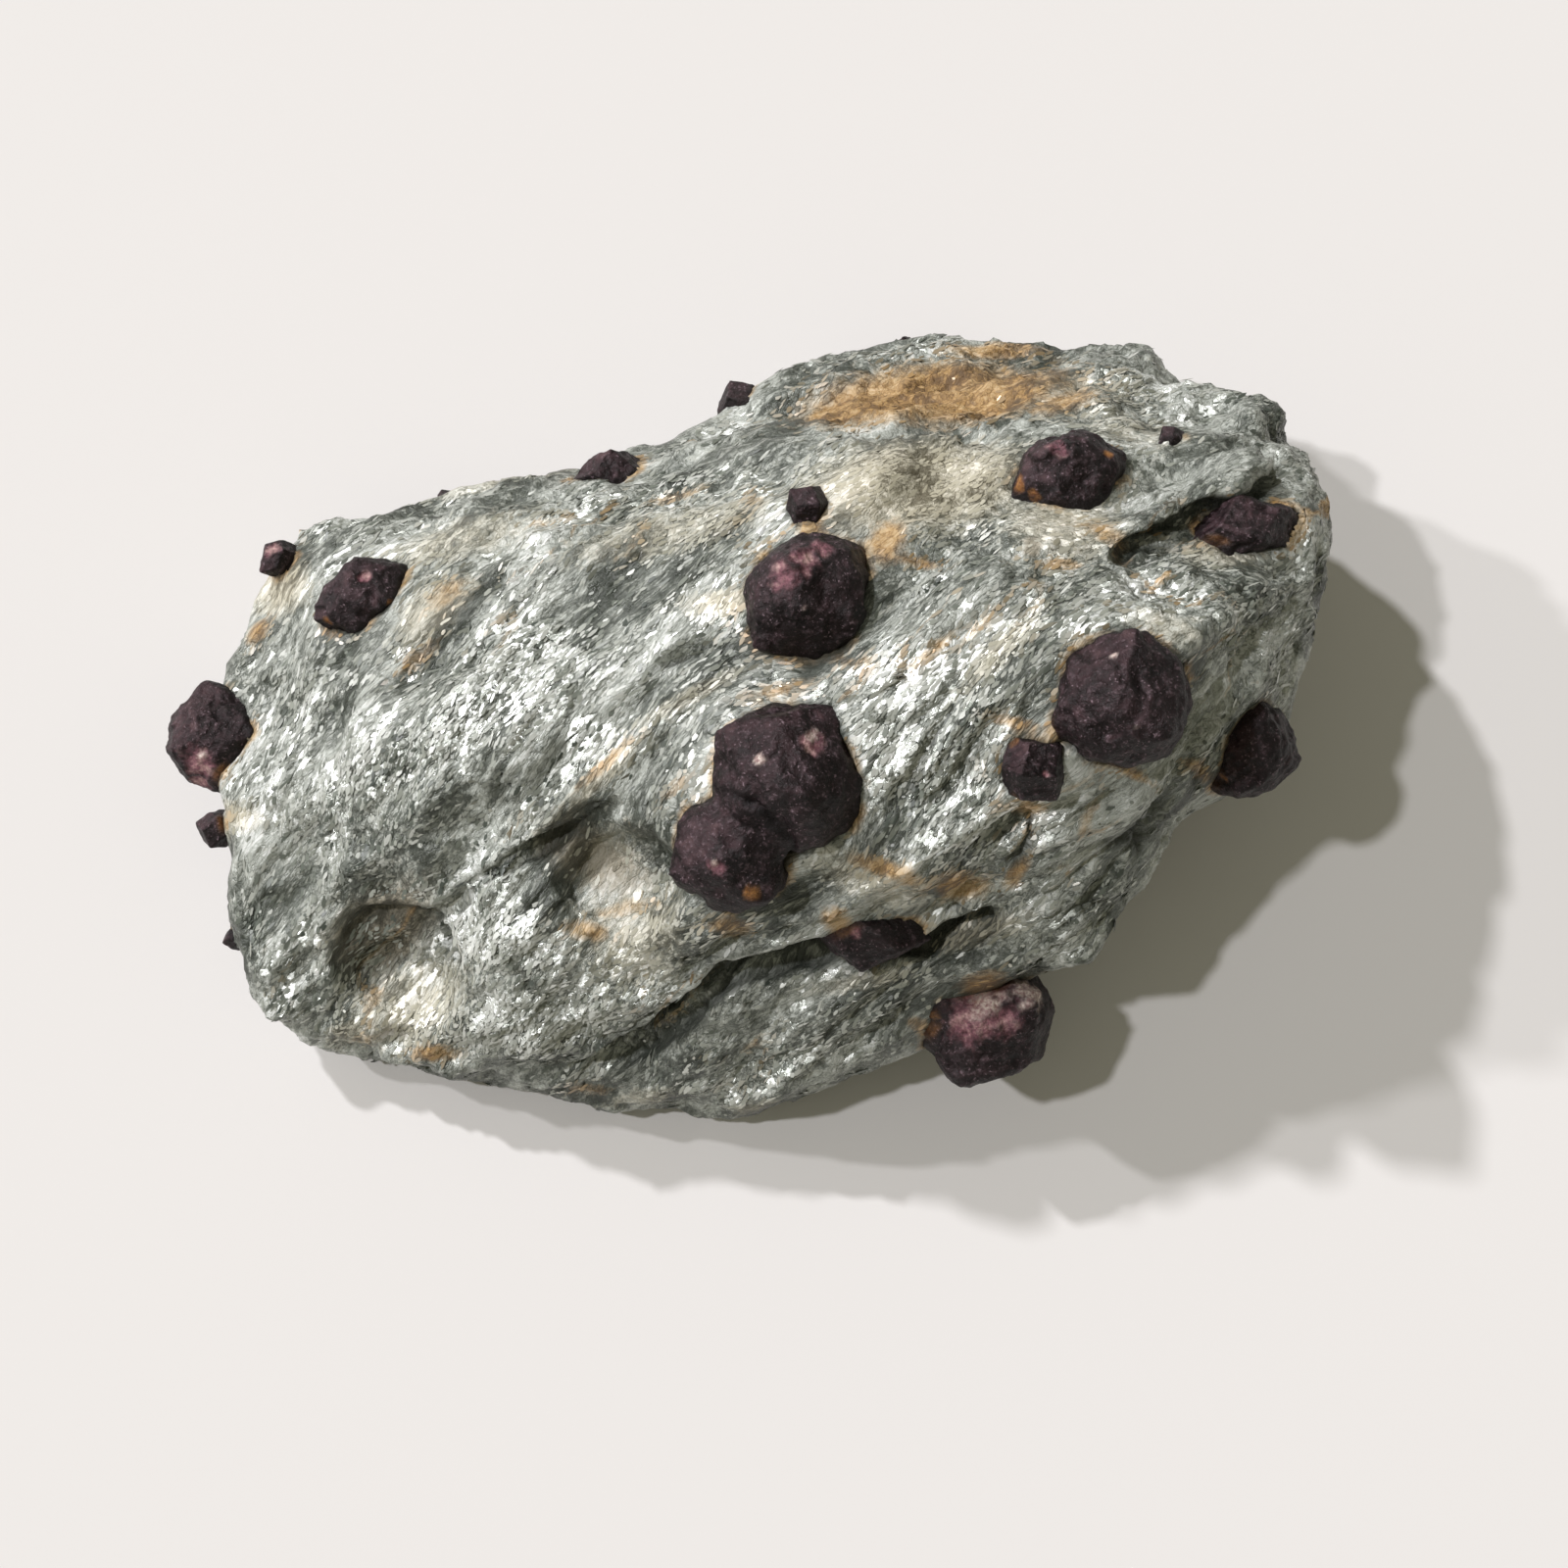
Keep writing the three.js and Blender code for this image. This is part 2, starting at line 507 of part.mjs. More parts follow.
function addPiece(name, solid, material) {
  const piece = new THREE.Mesh(toGeometry(solid), material);
  piece.name = name;
  specimen.add(piece);
}

let schist = toSolid(schistSurface());
for (const face of BREAKS) schist = schist.subtract(breakSolid(face));
for (const ledge of LEDGES) schist = schist.subtract(ledgeSolid(ledge));
for (const mould of MOULDS) schist = schist.subtract(garnetSolid(mould, 0));
for (const crack of CRACKS) schist = schist.subtract(crackSolid(crack));
for (const garnet of GARNETS) schist = schist.subtract(grownSolid(garnet, SOCKET_GAP));
addPiece('schist', schist, schistMaterial);
for (const garnet of GARNETS) addPiece(garnet.name, grownSolid(garnet, 0), garnetMaterial);

// The origin goes under the middle of the whole specimen's bounding box.
const middle = new THREE.Box3().setFromObject(specimen, true).getCenter(new THREE.Vector3());
specimen.position.set(-middle.x, -middle.y, 0);
specimen.updateMatrixWorld(true);

export default specimen;
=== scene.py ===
"""Finish of a garnet mica schist specimen: the fine schist lump, its mica scales and its garnets."""

import contextlib
import functools
import math
from types import SimpleNamespace

import bmesh
import bpy
import numpy as np
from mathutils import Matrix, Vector
from mathutils.bvhtree import BVHTree


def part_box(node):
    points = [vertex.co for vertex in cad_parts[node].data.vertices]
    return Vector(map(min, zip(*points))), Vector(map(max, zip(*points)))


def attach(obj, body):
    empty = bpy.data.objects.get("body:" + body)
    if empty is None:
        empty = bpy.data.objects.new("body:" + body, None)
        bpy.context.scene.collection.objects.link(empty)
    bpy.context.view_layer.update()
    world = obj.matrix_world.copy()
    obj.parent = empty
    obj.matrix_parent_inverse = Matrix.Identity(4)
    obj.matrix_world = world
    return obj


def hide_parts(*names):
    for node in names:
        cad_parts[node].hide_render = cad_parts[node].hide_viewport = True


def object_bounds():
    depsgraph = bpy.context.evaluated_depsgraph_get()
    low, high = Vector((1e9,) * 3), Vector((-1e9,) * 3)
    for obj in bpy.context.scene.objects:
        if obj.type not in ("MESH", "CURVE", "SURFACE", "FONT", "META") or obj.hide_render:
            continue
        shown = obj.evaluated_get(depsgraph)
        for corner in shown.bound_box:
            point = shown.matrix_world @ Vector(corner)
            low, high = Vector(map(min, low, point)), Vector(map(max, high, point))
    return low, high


bl_info = {
    "name": "Garnet mica schist specimen",
    "version": (1, 0, 0),
    "blender": (4, 5, 0),
    "location": "View3D > Sidebar > Specimen",
    "description": "Builds the finish of a garnet mica schist hand specimen around its CAD frame",
    "category": "Add Mesh",
}

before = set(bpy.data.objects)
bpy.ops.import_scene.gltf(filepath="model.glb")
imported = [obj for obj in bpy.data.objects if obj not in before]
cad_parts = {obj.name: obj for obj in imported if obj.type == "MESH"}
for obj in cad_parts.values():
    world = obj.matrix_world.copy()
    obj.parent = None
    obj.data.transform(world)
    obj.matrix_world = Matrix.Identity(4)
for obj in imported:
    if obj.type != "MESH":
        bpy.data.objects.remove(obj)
CAD_BOUNDS = [list(corner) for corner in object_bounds()]
MM = 0.001
GARNETS = sorted(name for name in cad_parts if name.startswith("garnet"))

# The way the stone is looked at: unit vectors to the right and up in the picture, and to the eye.
VIEW_TURN = math.radians(-15)
VIEW_RISE = math.radians(80)
EYE = Vector((
    math.sin(VIEW_TURN) * math.cos(VIEW_RISE),
    -math.cos(VIEW_TURN) * math.cos(VIEW_RISE),
    math.sin(VIEW_RISE),
))
RIGHT = Vector((math.cos(VIEW_TURN), math.sin(VIEW_TURN), 0))
BACK = Vector((-RIGHT.y, RIGHT.x, 0))


# ---- small helpers ----

MERGE_REACH = 0.0001 * MM  # vertices nearer than this are one
SMOOTHING = 0.5  # share of the way to its neighbours that a vertex moves in a round
MATH, VECTOR_MATH, MAP_RANGE = "ShaderNodeMath", "ShaderNodeVectorMath", "ShaderNodeMapRange"


def linear(code):
    """A colour like '#7f8c86' as linear red, green, blue and alpha."""
    channels = [int(code[i:i + 2], 16) / 255 for i in (1, 3, 5)]
    return [c / 12.92 if c <= 0.04045 else ((c + 0.055) / 1.055) ** 2.4 for c in channels] + [1.0]


def add_node(tree, kind, inputs=(), out=0, stops=(), **settings):
    """Adds a node and gives back one of its outputs. inputs holds, by number or name, the value of
    a socket or the output that feeds it; stops are a ramp's places with a grey or a colour each."""
    node = tree.nodes.new(kind)
    for key, value in settings.items():
        setattr(node, key, value)
    for number, (place, colour) in enumerate(stops):
        elements = node.color_ramp.elements
        stop = elements[number] if number < len(elements) else elements.new(place)
        stop.position = place
        stop.color = [colour] * 3 + [1] if isinstance(colour, (int, float)) else list(colour)
    for key, value in inputs.items() if isinstance(inputs, dict) else enumerate(inputs):
        if isinstance(value, bpy.types.NodeSocket):
            tree.links.new(value, node.inputs[key])
        else:
            node.inputs[key].default_value = value
    return node.outputs[out] if node.outputs else None


def new_material(name):
    """An empty node material, and the function that adds nodes to it."""
    material = bpy.data.materials.new(name)
    material.use_nodes = True
    material.node_tree.nodes.clear()
    return material, functools.partial(add_node, material.node_tree)


def lattice(i, j, k, seed):
    """A steady random number from 0 to 1 for whole numbers i, j and k."""
    h = (i * 374761393 + j * 668265263 + k * 1442695041 + seed * 974634777) & 0xFFFFFFFF
    h = ((h ^ (h >> 13)) * 1274126177) & 0xFFFFFFFF
    return ((h ^ (h >> 16)) & 0xFFFF) / 65535.0


def noise(points, size, seed=0):
    """Smooth noise from -1 to 1 at each row of points, with lumps of the given size, or sizes."""
    p = points / np.asarray(size, float)
    cell = np.floor(p).astype(np.int64)
    t = p - cell
    t = t * t * (3 - 2 * t)
    total = np.zeros(len(p))
    for a in (0, 1):
        for b in (0, 1):
            for c in (0, 1):
                weight = (t[:, 0] if a else 1 - t[:, 0]) * (t[:, 1] if b else 1 - t[:, 1])
                weight = weight * (t[:, 2] if c else 1 - t[:, 2])
                total += weight * lattice(cell[:, 0] + a, cell[:, 1] + b, cell[:, 2] + c, seed)
    return 2 * total - 1


def ease(low, high, value):
    """0 below low, 1 above high and smooth between."""
    t = np.clip((value - low) / (high - low), 0, 1)
    return t * t * (3 - 2 * t)


def unit(vectors):
    """Each row as a vector of length 1."""
    return vectors / (np.linalg.norm(vectors, axis=1)[:, None] + 1e-9)


def rows(items, field):
    """The vector that each item holds in a field, a row for each."""
    out = np.empty(len(items) * 3)
    items.foreach_get(field, out)
    return out.reshape(-1, 3)


def coordinates(mesh):
    """The vertices' places, a row for each."""
    return rows(mesh.vertices, "co")


def normals(mesh):
    """The ways that the vertices face, a row for each."""
    return rows(mesh.vertex_normals, "vector")


def set_coordinates(mesh, points):
    """Moves each vertex to its row of points."""
    mesh.vertices.foreach_set("co", points.ravel())
    mesh.update()


def new_object(name, data):
    """A new object in the scene."""
    thing = bpy.data.objects.new(name, data)
    bpy.context.scene.collection.objects.link(thing)
    return thing


@contextlib.contextmanager
def edited(mesh):
    """The mesh opened for editing, and written back at the end."""
    shape = bmesh.new()
    shape.from_mesh(mesh)
    yield shape
    shape.to_mesh(mesh)
    shape.free()


def store(mesh, **fields):
    """Keeps a number or a vector per vertex under each name, for a material or a node to read."""
    for name, values in fields.items():
        kind, entry = ("FLOAT_VECTOR", "vector") if values.ndim == 2 else ("FLOAT", "value")
        layer = mesh.attributes.new(name, kind, "POINT")
        layer.data.foreach_set(entry, values.ravel())


def merged_copy(node):
    """A new mesh from a CAD node with its loose triangles joined."""
    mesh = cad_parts[node].data.copy()
    with edited(mesh) as shape:
        bmesh.ops.remove_doubles(shape, verts=shape.verts, dist=MERGE_REACH)
    mesh.materials.clear()
    return mesh


def rounded_copy(node, facet, rounds):
    """A CAD node's mesh in even facets of one size, smoothed the given number of rounds."""
    holder = new_object(node + "_fine", merged_copy(node))
    remesh = holder.modifiers.new("remesh", "REMESH")
    remesh.mode = "VOXEL"
    remesh.voxel_size = facet
    smooth = holder.modifiers.new("smooth", "SMOOTH")
    smooth.factor = SMOOTHING
    smooth.iterations = rounds
    graph = bpy.context.evaluated_depsgraph_get()
    mesh = bpy.data.meshes.new_from_object(holder.evaluated_get(graph))
    bpy.data.objects.remove(holder)
    return mesh


def add_piece(name, mesh, material, replaced):
    """Puts a finished mesh in the scene in place of a CAD node."""
    mesh.materials.clear()
    mesh.materials.append(material)
    mesh.shade_smooth()
    piece = new_object(name, mesh)
    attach(piece, "root")
    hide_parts(replaced)
    return piece


def soften(mesh, chosen, rounds):
    """Smooths a mesh at the chosen vertices."""
    with edited(mesh) as shape:
        shape.verts.ensure_lookup_table()
        soft = [shape.verts[index] for index in np.flatnonzero(chosen)]
        for _ in range(rounds):
            bmesh.ops.smooth_vert(
                shape, verts=soft, factor=SMOOTHING, use_axis_x=True, use_axis_y=True, use_axis_z=True)


def search_tree(*meshes):
    """One tree for finding the nearest place on the meshes, or what a ray meets."""
    shape = bmesh.new()
    for mesh in meshes:
        shape.from_mesh(mesh)
    tree = BVHTree.FromBMesh(shape)
    shape.free()
    return tree


def middle_and_radius(node):
    """A CAD node's middle and mean radius, in mm."""
    low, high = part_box(node)
    return (low + high) / 2 / MM, (high - low).length / 2 / math.sqrt(3) / MM


# ---- the layering of the schist ----

LAYER_TILT = 0.25  # the mica layers rise by this much for each millimetre to the right
GRAIN_TURN = 28  # degrees from +X to the mica's grain in the middle of the stone
GRAIN_SWING = (-0.12, -0.1)  # degrees that it turns for each millimetre along X and along Y
PARTING = 0.55  # share of the way out from a garnet's middle by which the layers part round it
PARTING_REACH = 0.5  # garnet radii over which they close again


def layer_place(points):
    """Place of each point, in mm, along the mica's grain, across it and through the layers. The
    layers part around each garnet and close behind it."""
    x, y, z = (points / MM).T
    turn = np.radians(GRAIN_TURN + GRAIN_SWING[0] * x + GRAIN_SWING[1] * y)
    along = x * np.cos(turn) + y * np.sin(turn)
    across = y * np.cos(turn) - x * np.sin(turn)
    through = z - LAYER_TILT * x
    for name in GARNETS:
        centre, radius = middle_and_radius(name)
        dx, dy, dz = x - centre.x, y - centre.y, z - centre.z
        distance = np.sqrt(dx * dx + dy * dy + dz * dz)
        part = PARTING * np.exp(-np.maximum(distance - radius, 0) / (PARTING_REACH * radius))
        across -= (dy * np.cos(turn) - dx * np.sin(turn)) * part
        through -= (dz - LAYER_TILT * dx) * part
    return np.stack([along, across, through], axis=1)


def grain_way(points):
    """The way that the mica's grain runs at each point, level with the table."""
    step = 0.2 * MM
    slopes = []
    for way in ((step, 0, 0), (0, step, 0)):
        slopes.append(layer_place(points + way)[:, 1] - layer_place(points - way)[:, 1])
    return unit(np.stack([slopes[1], -slopes[0], 0 * slopes[0]], axis=1))


def layer_height(layers):
    """How far the schist's surface stands out, in mm, from its folds, ribs, steps and flakes. Each
    noise is given the size of its lumps along the grain, across it and through the layers."""
    folds = 0.8 * noise(layers, (15, 5.2, 5), 1) + 0.45 * noise(layers, (8, 2.9, 3), 9)
    ribs = 0.5 * (1 - 2 * np.abs(noise(layers, (8, 1.8, 2), 2)) ** 0.8)
    ribs *= ease(-0.5, 0.4, noise(layers, 16, 3))
    lift = 2.6 * noise(layers, (9, 2.8, 2.4), 4)
    steps = 0.45 * (np.floor(lift) + ease(0.8, 1.0, lift - np.floor(lift)))
    scales = 0.2 * noise(layers, (2.6, 0.9, 0.9), 5) + 0.14 * noise(layers, (1.3, 0.6, 0.6), 6)
    split = np.abs(noise(layers, (13, 2.4, 2.4), 7))
    splits = -0.7 * (1 - ease(0, 0.1, split)) * ease(0.1, 0.5, noise(layers, 11, 8))
    return folds + ribs + steps + scales + splits


# ---- stains, glints and cracks ----

# Patches seen from above: x and y in mm, half length, half width, turn in degrees, strength.
# Silver patches are painted sheen and dull patches painted shade in the schist's tone, besides turning the
# flakes.
SILVER_SHEEN_PATCHES = [
    (-19, 8.5, 5.5, 3.5, 20, 0.9), (-28, 5.5, 6.5, 2.5, 15, 0.8), (-37.5, 4.5, 5.5, 2.5, 15, 0.5),
    (-28, -13, 2.5, 5.5, 65, 1), (-28, -21, 8, 2.5, -10, 1), (-16.5, -16, 4, 3, 45, 0.2),
    (12, -10.5, 3.5, 5.5, 55, 1), (16, -17, 5.5, 2.5, 5, 0.9), (12, -2.5, 3, 5, 45, 0.8),
    (21, -1.6, 6.5, 1.6, 30, 0.8), (39, 24, 4, 1.6, -35, 0.8), (-3.5, 23, 10, 2, -5, 0.4),
    (-7, -30.5, 7.5, 1.8, 5, 0.6), (-13, -32, 3.5, 1.4, 5, 0.6), (-53, -3.5, 2.5, 3.5, 65, 0.3),
    (17.5, -7.5, 2.5, 3.5, 35, 0.7), (-15, 0, 3.5, 2.5, 15, 0.4), (-1.8, 8, 1.2, 4.5, 65, 0.7),
    (-38, -17, 3.5, 1.6, 5, 0.5), (27.5, 4.5, 1.2, 1, -15, 0.9), (41, -6.5, 3, 2, 45, 0.5),
]
DULL_SHADE_PATCHES = [
    (-27.5, 17, 8.5, 1.6, 5, 0.8), (-12, 18.5, 10.5, 2.5, 0, 0.6), (-15, -4, 8.5, 1.6, 20, 0.9),
    (28, -17, 5, 6, 30, 0.8), (39.5, -9, 3, 5.5, 55, 0.9), (27, -14.5, 5, 2.5, -65, 0.8),
    (13.5, 12, 4.5, 5, -15, 0.4), (6.5, 26.5, 9, 3.5, 0, 0.5), (-47, -0.8, 4, 5.5, 65, 0.7),
    (-19, -8, 4, 2, 15, 0.8), (9.5, 3, 2.5, 5, 55, 0.5), (-7.5, 7.5, 3.5, 1.8, 25, 0.5),
    (-13, -26, 8, 1.4, 10, 0.5), (-2, 26, 8, 2, 5, 0.6), (36, 27, 6, 3, -30, 0.5),
    (44, 10, 6, 8, 60, 0.6), (-36, 12, 5, 2.5, 30, 0.5), (-40, 18, 4, 3, 40, 0.4),
    (6, 33, 6, 2, 0, 0.6), (20, 21, 12, 2.5, -5, 0.5), (-17, -13.5, 4, 5, 45, 0.4),
    (-11, 13, 6, 3.5, 20, 0.5), (-13, 3.5, 5, 2.5, 25, 0.5), (-24, 0, 7, 1.4, 15, 0.6),
    (-31, -4, 6, 1.6, 10, 0.5), (-18, 25, 8, 3, -5, 0.5),
]
RUST_PATCHES = [
    (14, 27.5, 3.5, 2, -5, 1.2), (23, 26.5, 13, 4.5, -8, 1.2), (30.5, 31, 5.5, 1.2, -10, 1),
    (34, 22, 4, 1.6, 5, 0.9), (13.5, 10.5, 1.8, 2.5, -40, 1), (15.5, 8, 3, 0.6, -25, 0.8),
    (32.5, 6, 1, 2.5, 50, 0.8), (27.5, 4, 2.5, 0.6, -10, 0.8), (42, 3.5, 3, 0.6, 0, 0.6),
    (14.5, -1, 3, 0.6, 25, 0.8), (1.4, 0, 4, 0.6, -5, 0.8), (6, -17.5, 4, 0.8, -35, 1),
    (12.5, -20, 3, 1, -10, 1), (17.5, -20, 1.6, 0.8, 30, 1), (20, -9, 0.6, 3, 60, 0.9),
    (19.5, -15.5, 0.6, 1.8, 70, 0.9), (27.5, -13.5, 5, 0.6, -40, 1),
    (35.5, -15.5, 0.8, 2.2, 60, 0.7), (0.8, -20, 1, 1.8, 55, 1), (-8.5, -18, 2.5, 0.8, -15, 0.8),
    (12.5, -28, 2.5, 1, -5, 0.9), (6.5, -30, 0.8, 2, 55, 0.7), (-44, 22.5, 1.8, 1.2, 35, 0.9),
    (-25.5, 18.5, 1.2, 2.5, -65, 0.7), (-29.5, 13.5, 3, 0.8, 25, 0.7),
    (-51, 10.5, 0.8, 1.8, 60, 0.9), (-52, 6.5, 0.8, 1.6, 65, 0.8), (-15.5, -1.6, 4, 0.6, 25, 0.8),
    (-21, -14.5, 1, 2.5, 65, 0.9), (-17, -13.5, 3.5, 0.8, -5, 0.7), (-38, -20, 2.5, 0.8, -15, 1),
    (-45, -17, 1.8, 0.8, 5, 0.7), (-25, -27, 2.5, 0.8, -15, 0.9), (-3, 22, 3, 0.6, -5, 0.6),
    (-15, 23, 3, 0.6, -5, 0.5), (3.5, 19, 1.2, 1.4, -15, 0.4), (19, 0, 3.5, 0.6, 30, 0.6),
    (-10, -5.5, 2, 0.6, 30, 0.6),
]
CREAM_PATCHES = [
    (-41, 26, 3, 3.5, 45, 0.9), (-23, 24, 8.5, 2.5, -5, 0.5), (-27, 17.5, 4.5, 2.5, 30, 0.7),
    (-51, 6, 1.4, 4, 65, 0.8), (-17, -15.5, 5, 5.5, 45, 0.5), (-18.5, -9, 5.5, 3, -35, 0.4),
    (-39, -15, 6, 4, 5, 0.6), (-45.5, -16.5, 3, 1.6, 5, 0.7), (18, 15.5, 11, 5, -5, 1),
    (29, 8, 5.5, 4, -15, 0.7), (31.5, 24.5, 11, 4, -25, 0.4), (-1.2, 9, 1.2, 4, 75, 1),
    (4.5, -17.5, 5.5, 2, -30, 0.6), (12, -23.5, 6, 1.4, -5, 0.6), (-11.5, -33, 6.5, 0.8, -5, 0.7),
    (-22, -29, 5, 1.2, -10, 0.6), (43, 2.5, 4.5, 1.8, -5, 0.6), (34.5, -4, 1.8, 4, 65, 0.5),
    (20, -2.5, 5.5, 1.2, 30, 0.6), (-7, 1.8, 6.5, 0.8, 10, 0.5), (-16, -2.5, 5.5, 1, 25, 0.6),
    (-19, 31, 8.5, 1.6, -5, 0.5), (39.5, 16.5, 5.5, 2.5, -25, 0.4), (-4, 18, 10.5, 2.5, -5, 0.5),
    (2, -25, 5, 1, -5, 0.5),
]
# Soil and painted shade: the first three patches lie on the two moulds' walls that face away from the
# lamps and paint their shade brown; the rest are dirt.
SOIL_AND_SHADE_PATCHES = [
    (-39.5, -8, 5.5, 3, 10, 1), (-18.5, -8.5, 5.5, 2.5, -35, 0.8), (-41.5, -17, 2.5, 1, 5, 0.5),
    (25.5, 6, 0.8, 1.2, -15, 1), (36, 28.5, 0.8, 0.6, -15, 1), (43.5, 2, 2.5, 1.2, -30, 0.4),
    (19.5, 27, 4.5, 1.2, 15, 0.9), (26.5, 24, 5.5, 2, -10, 0.8), (24, 29.5, 3, 1, 20, 0.7),
]

# Cracks in the schist, and the groove between the two garnets that have grown together: depth, half width
# and course, in mm. Both are also painted dark as shade; the last crack runs under the front ledge's lip
# and paints its shadow.
CRACKS = [
    (1.2, 0.5, [(19.5, -16.5), (19, -18), (18, -19.5), (16.5, -20.5)]),
    (0.7, 0.4, [(15.5, -18.5), (17.5, -17.5), (19, -16.5)]),
    (0.7, 0.3, [(10, -22), (11.5, -21.5), (13, -22), (15, -22.5)]),
    (0.4, 0.3, [(-36.5, -9), (-32.5, -9), (-28.5, -8.5), (-24, -7), (-21, -6)]),
    (1.1, 0.6, [(2, 0.6), (4, 0.8), (7, 1.6), (9.5, 3)]),
    (0.8, 0.45, [(28.5, -20.5), (29, -19.5), (29.5, -18.5)]),
    (0.8, 0.4, [(38, 4), (40.5, 5), (43, 7), (45.5, 8)]),
    (0.7, 0.4, [(32, 3.5), (34, 4.5), (36.5, 5), (39, 5.5)]),
    (0.7, 0.4, [(-11.5, 5.5), (-6, 5.5), (-1, 4.5)]),
    # under the front ledge's lip: the lip's painted shadow
    (1.0, 0.9, [
        (-24, -25.5), (-21, -25), (-17, -24.5), (-13.5, -23.5), (-10, -22), (-3, -21.5), (2.5, -22.5),
        (7, -23.5), (10, -24),
    ]),
]
GROOVES = [
    (0.6, 0.4, [(-7.5, -7), (-5, -9), (-3.5, -10.5), (-2.5, -12), (-1.8, -13.5), (-1.8, -16)]),
]

# Marks on the garnets: place and radius in mm. PINK is fresh garnet, PALE bruised, IRON rusty.
PINK_MARKS = [
    (-52.5, 11.5, 13.5, 1.8), (-53, 10, 11.5, 1.1), (3.5, 8.5, 41, 1.3), (5.5, 9.5, 40.5, 1.3),
    (7.5, 10.5, 39.5, 1), (2.5, -6, 40, 1.1), (-8.5, -14, 36, 0.7), (30.5, 15, 35.5, 1),
    (-32.5, 22.5, 23.5, 0.6), (-41, 29.5, 15.5, 0.9), (34, -5, 39, 1), (2.2, -21.5, 26.5, 0.8),
    (11.5, -30.5, 18.5, 2.4), (10, -31.5, 18, 1.8), (14, -31.5, 18.5, 1.4), (21, -14, 40, 0.4),
    (38, -13.5, 28, 0.4),
]
PALE_MARKS = [
    (12.5, -29.5, 18.5, 1.5), (17, -29.5, 18, 1.7), (4.5, 5.5, 40.5, 0.3),
    (2.5, -5.5, 39.5, 0.6), (-2.5, -6.5, 40, 0.5), (29, -6, 43.5, 0.4), (29, -12.5, 43, 0.3),
    (-52, 12, 14.5, 0.6), (-8.5, -13.5, 36, 0.3), (34, -4.5, 39, 0.4),
]
IRON_MARKS = [
    (-6, -16.5, 34, 0.7), (11.5, -28, 19, 1.3), (13.5, -28, 18.5, 0.9), (26.5, 13, 33, 0.8),
    (27.5, 11.5, 33.5, 0.7), (35, 13.5, 34, 0.4), (19, -10, 38.5, 0.6), (7.5, -29.5, 17, 0.7),
    (38, -16, 26, 0.6), (-37, 19.5, 22, 0.5), (-30.5, 19, 23.5, 0.6),
]


def patch_cover(points, patches):
    """How strongly the patches cover each point, from 0 to 1, seen from above."""
    x, y, z = (points / MM).T
    cover = np.zeros(len(points))
    for px, py, half_long, half_short, turn, strength in patches:
        c, s = math.cos(math.radians(turn)), math.sin(math.radians(turn))
        u = ((x - px) * c + (y - py) * s) / half_long
        v = ((y - py) * c - (x - px) * s) / half_short
        cover = np.maximum(cover, strength * np.exp(-(u * u + v * v) ** 1.5))
    return cover * ease(3, 9, z)


WANDER, WANDER_LENGTH = 0.35, 1.7  # mm that a crack strays from its course, and over what length
CRACK_END = 0.25  # share of its length over which a crack opens to its full depth


def crack_depth(points, cracks):
    """How deep the cracks go at each point, in mm, seen from above. A crack runs out at its ends."""
    x, y = points[:, 0] / MM, points[:, 1] / MM
    x = x + WANDER * noise(points / MM, WANDER_LENGTH, 41)
    y = y + WANDER * noise(points / MM, WANDER_LENGTH, 42)
    deepest = np.zeros(len(points))
    for depth, half_width, course in cracks:
        for index, ((x0, y0), (x1, y1)) in enumerate(zip(course, course[1:])):
            run = (x1 - x0) ** 2 + (y1 - y0) ** 2
            t = np.clip(((x - x0) * (x1 - x0) + (y - y0) * (y1 - y0)) / run, 0, 1)
            away = np.hypot(x - x0 - t * (x1 - x0), y - y0 - t * (y1 - y0))
            far = (index + t) / (len(course) - 1)
            open_here = depth * ease(0, CRACK_END, far) * ease(0, CRACK_END, 1 - far)
            open_here *= 1 - ease(0.2 * half_width, 1.3 * half_width, away)
            deepest = np.maximum(deepest, open_here)
    return deepest


def mark_cover(points, marks, seed):
    """How strongly the marks cover each point, with ragged edges."""
    cover = np.zeros(len(points))
    ragged = 0.45 * noise(points / MM, 0.7, seed) + 0.25 * noise(points / MM, 0.3, seed + 1)
    for x, y, z, radius in marks:
        away = np.linalg.norm(points / MM - np.array((x, y, z)), axis=1) / radius
        cover = np.maximum(cover, 1 - ease(0.4, 1.4, away + ragged))
    return cover


SKY_WAYS = 14  # directions in which each point looks out
SKY_START = 0.12  # mm off the surface at which it starts to look
SKY_REACH = 12  # mm within which stone hides the sky


def sky_seen(mesh):
    """The share of directions in which each vertex sees out past the stone, from 0 to 1."""
    tree = search_tree(mesh, *(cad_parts[name].data for name in GARNETS))
    points, facing = coordinates(mesh), normals(mesh)
    starts = points + facing * SKY_START * MM
    golden = math.pi * (3 - math.sqrt(5))
    seen = np.zeros(len(points))
    for i in range(SKY_WAYS):
        z = 1 - (i + 0.5) / SKY_WAYS
        r = math.sqrt(1 - z * z)
        ways = unit(facing + np.array((r * math.cos(golden * i), r * math.sin(golden * i), z)))
        for index, (start, way) in enumerate(zip(starts, ways)):
            if tree.ray_cast(start, way, SKY_REACH * MM)[0] is None:
                seen[index] += 1 / SKY_WAYS
    return seen


# ---- materials ----

CLEAVAGE_FACE = (-0.27, 0.27, 0.93)  # the way the mica faces where it lies in broad sheets


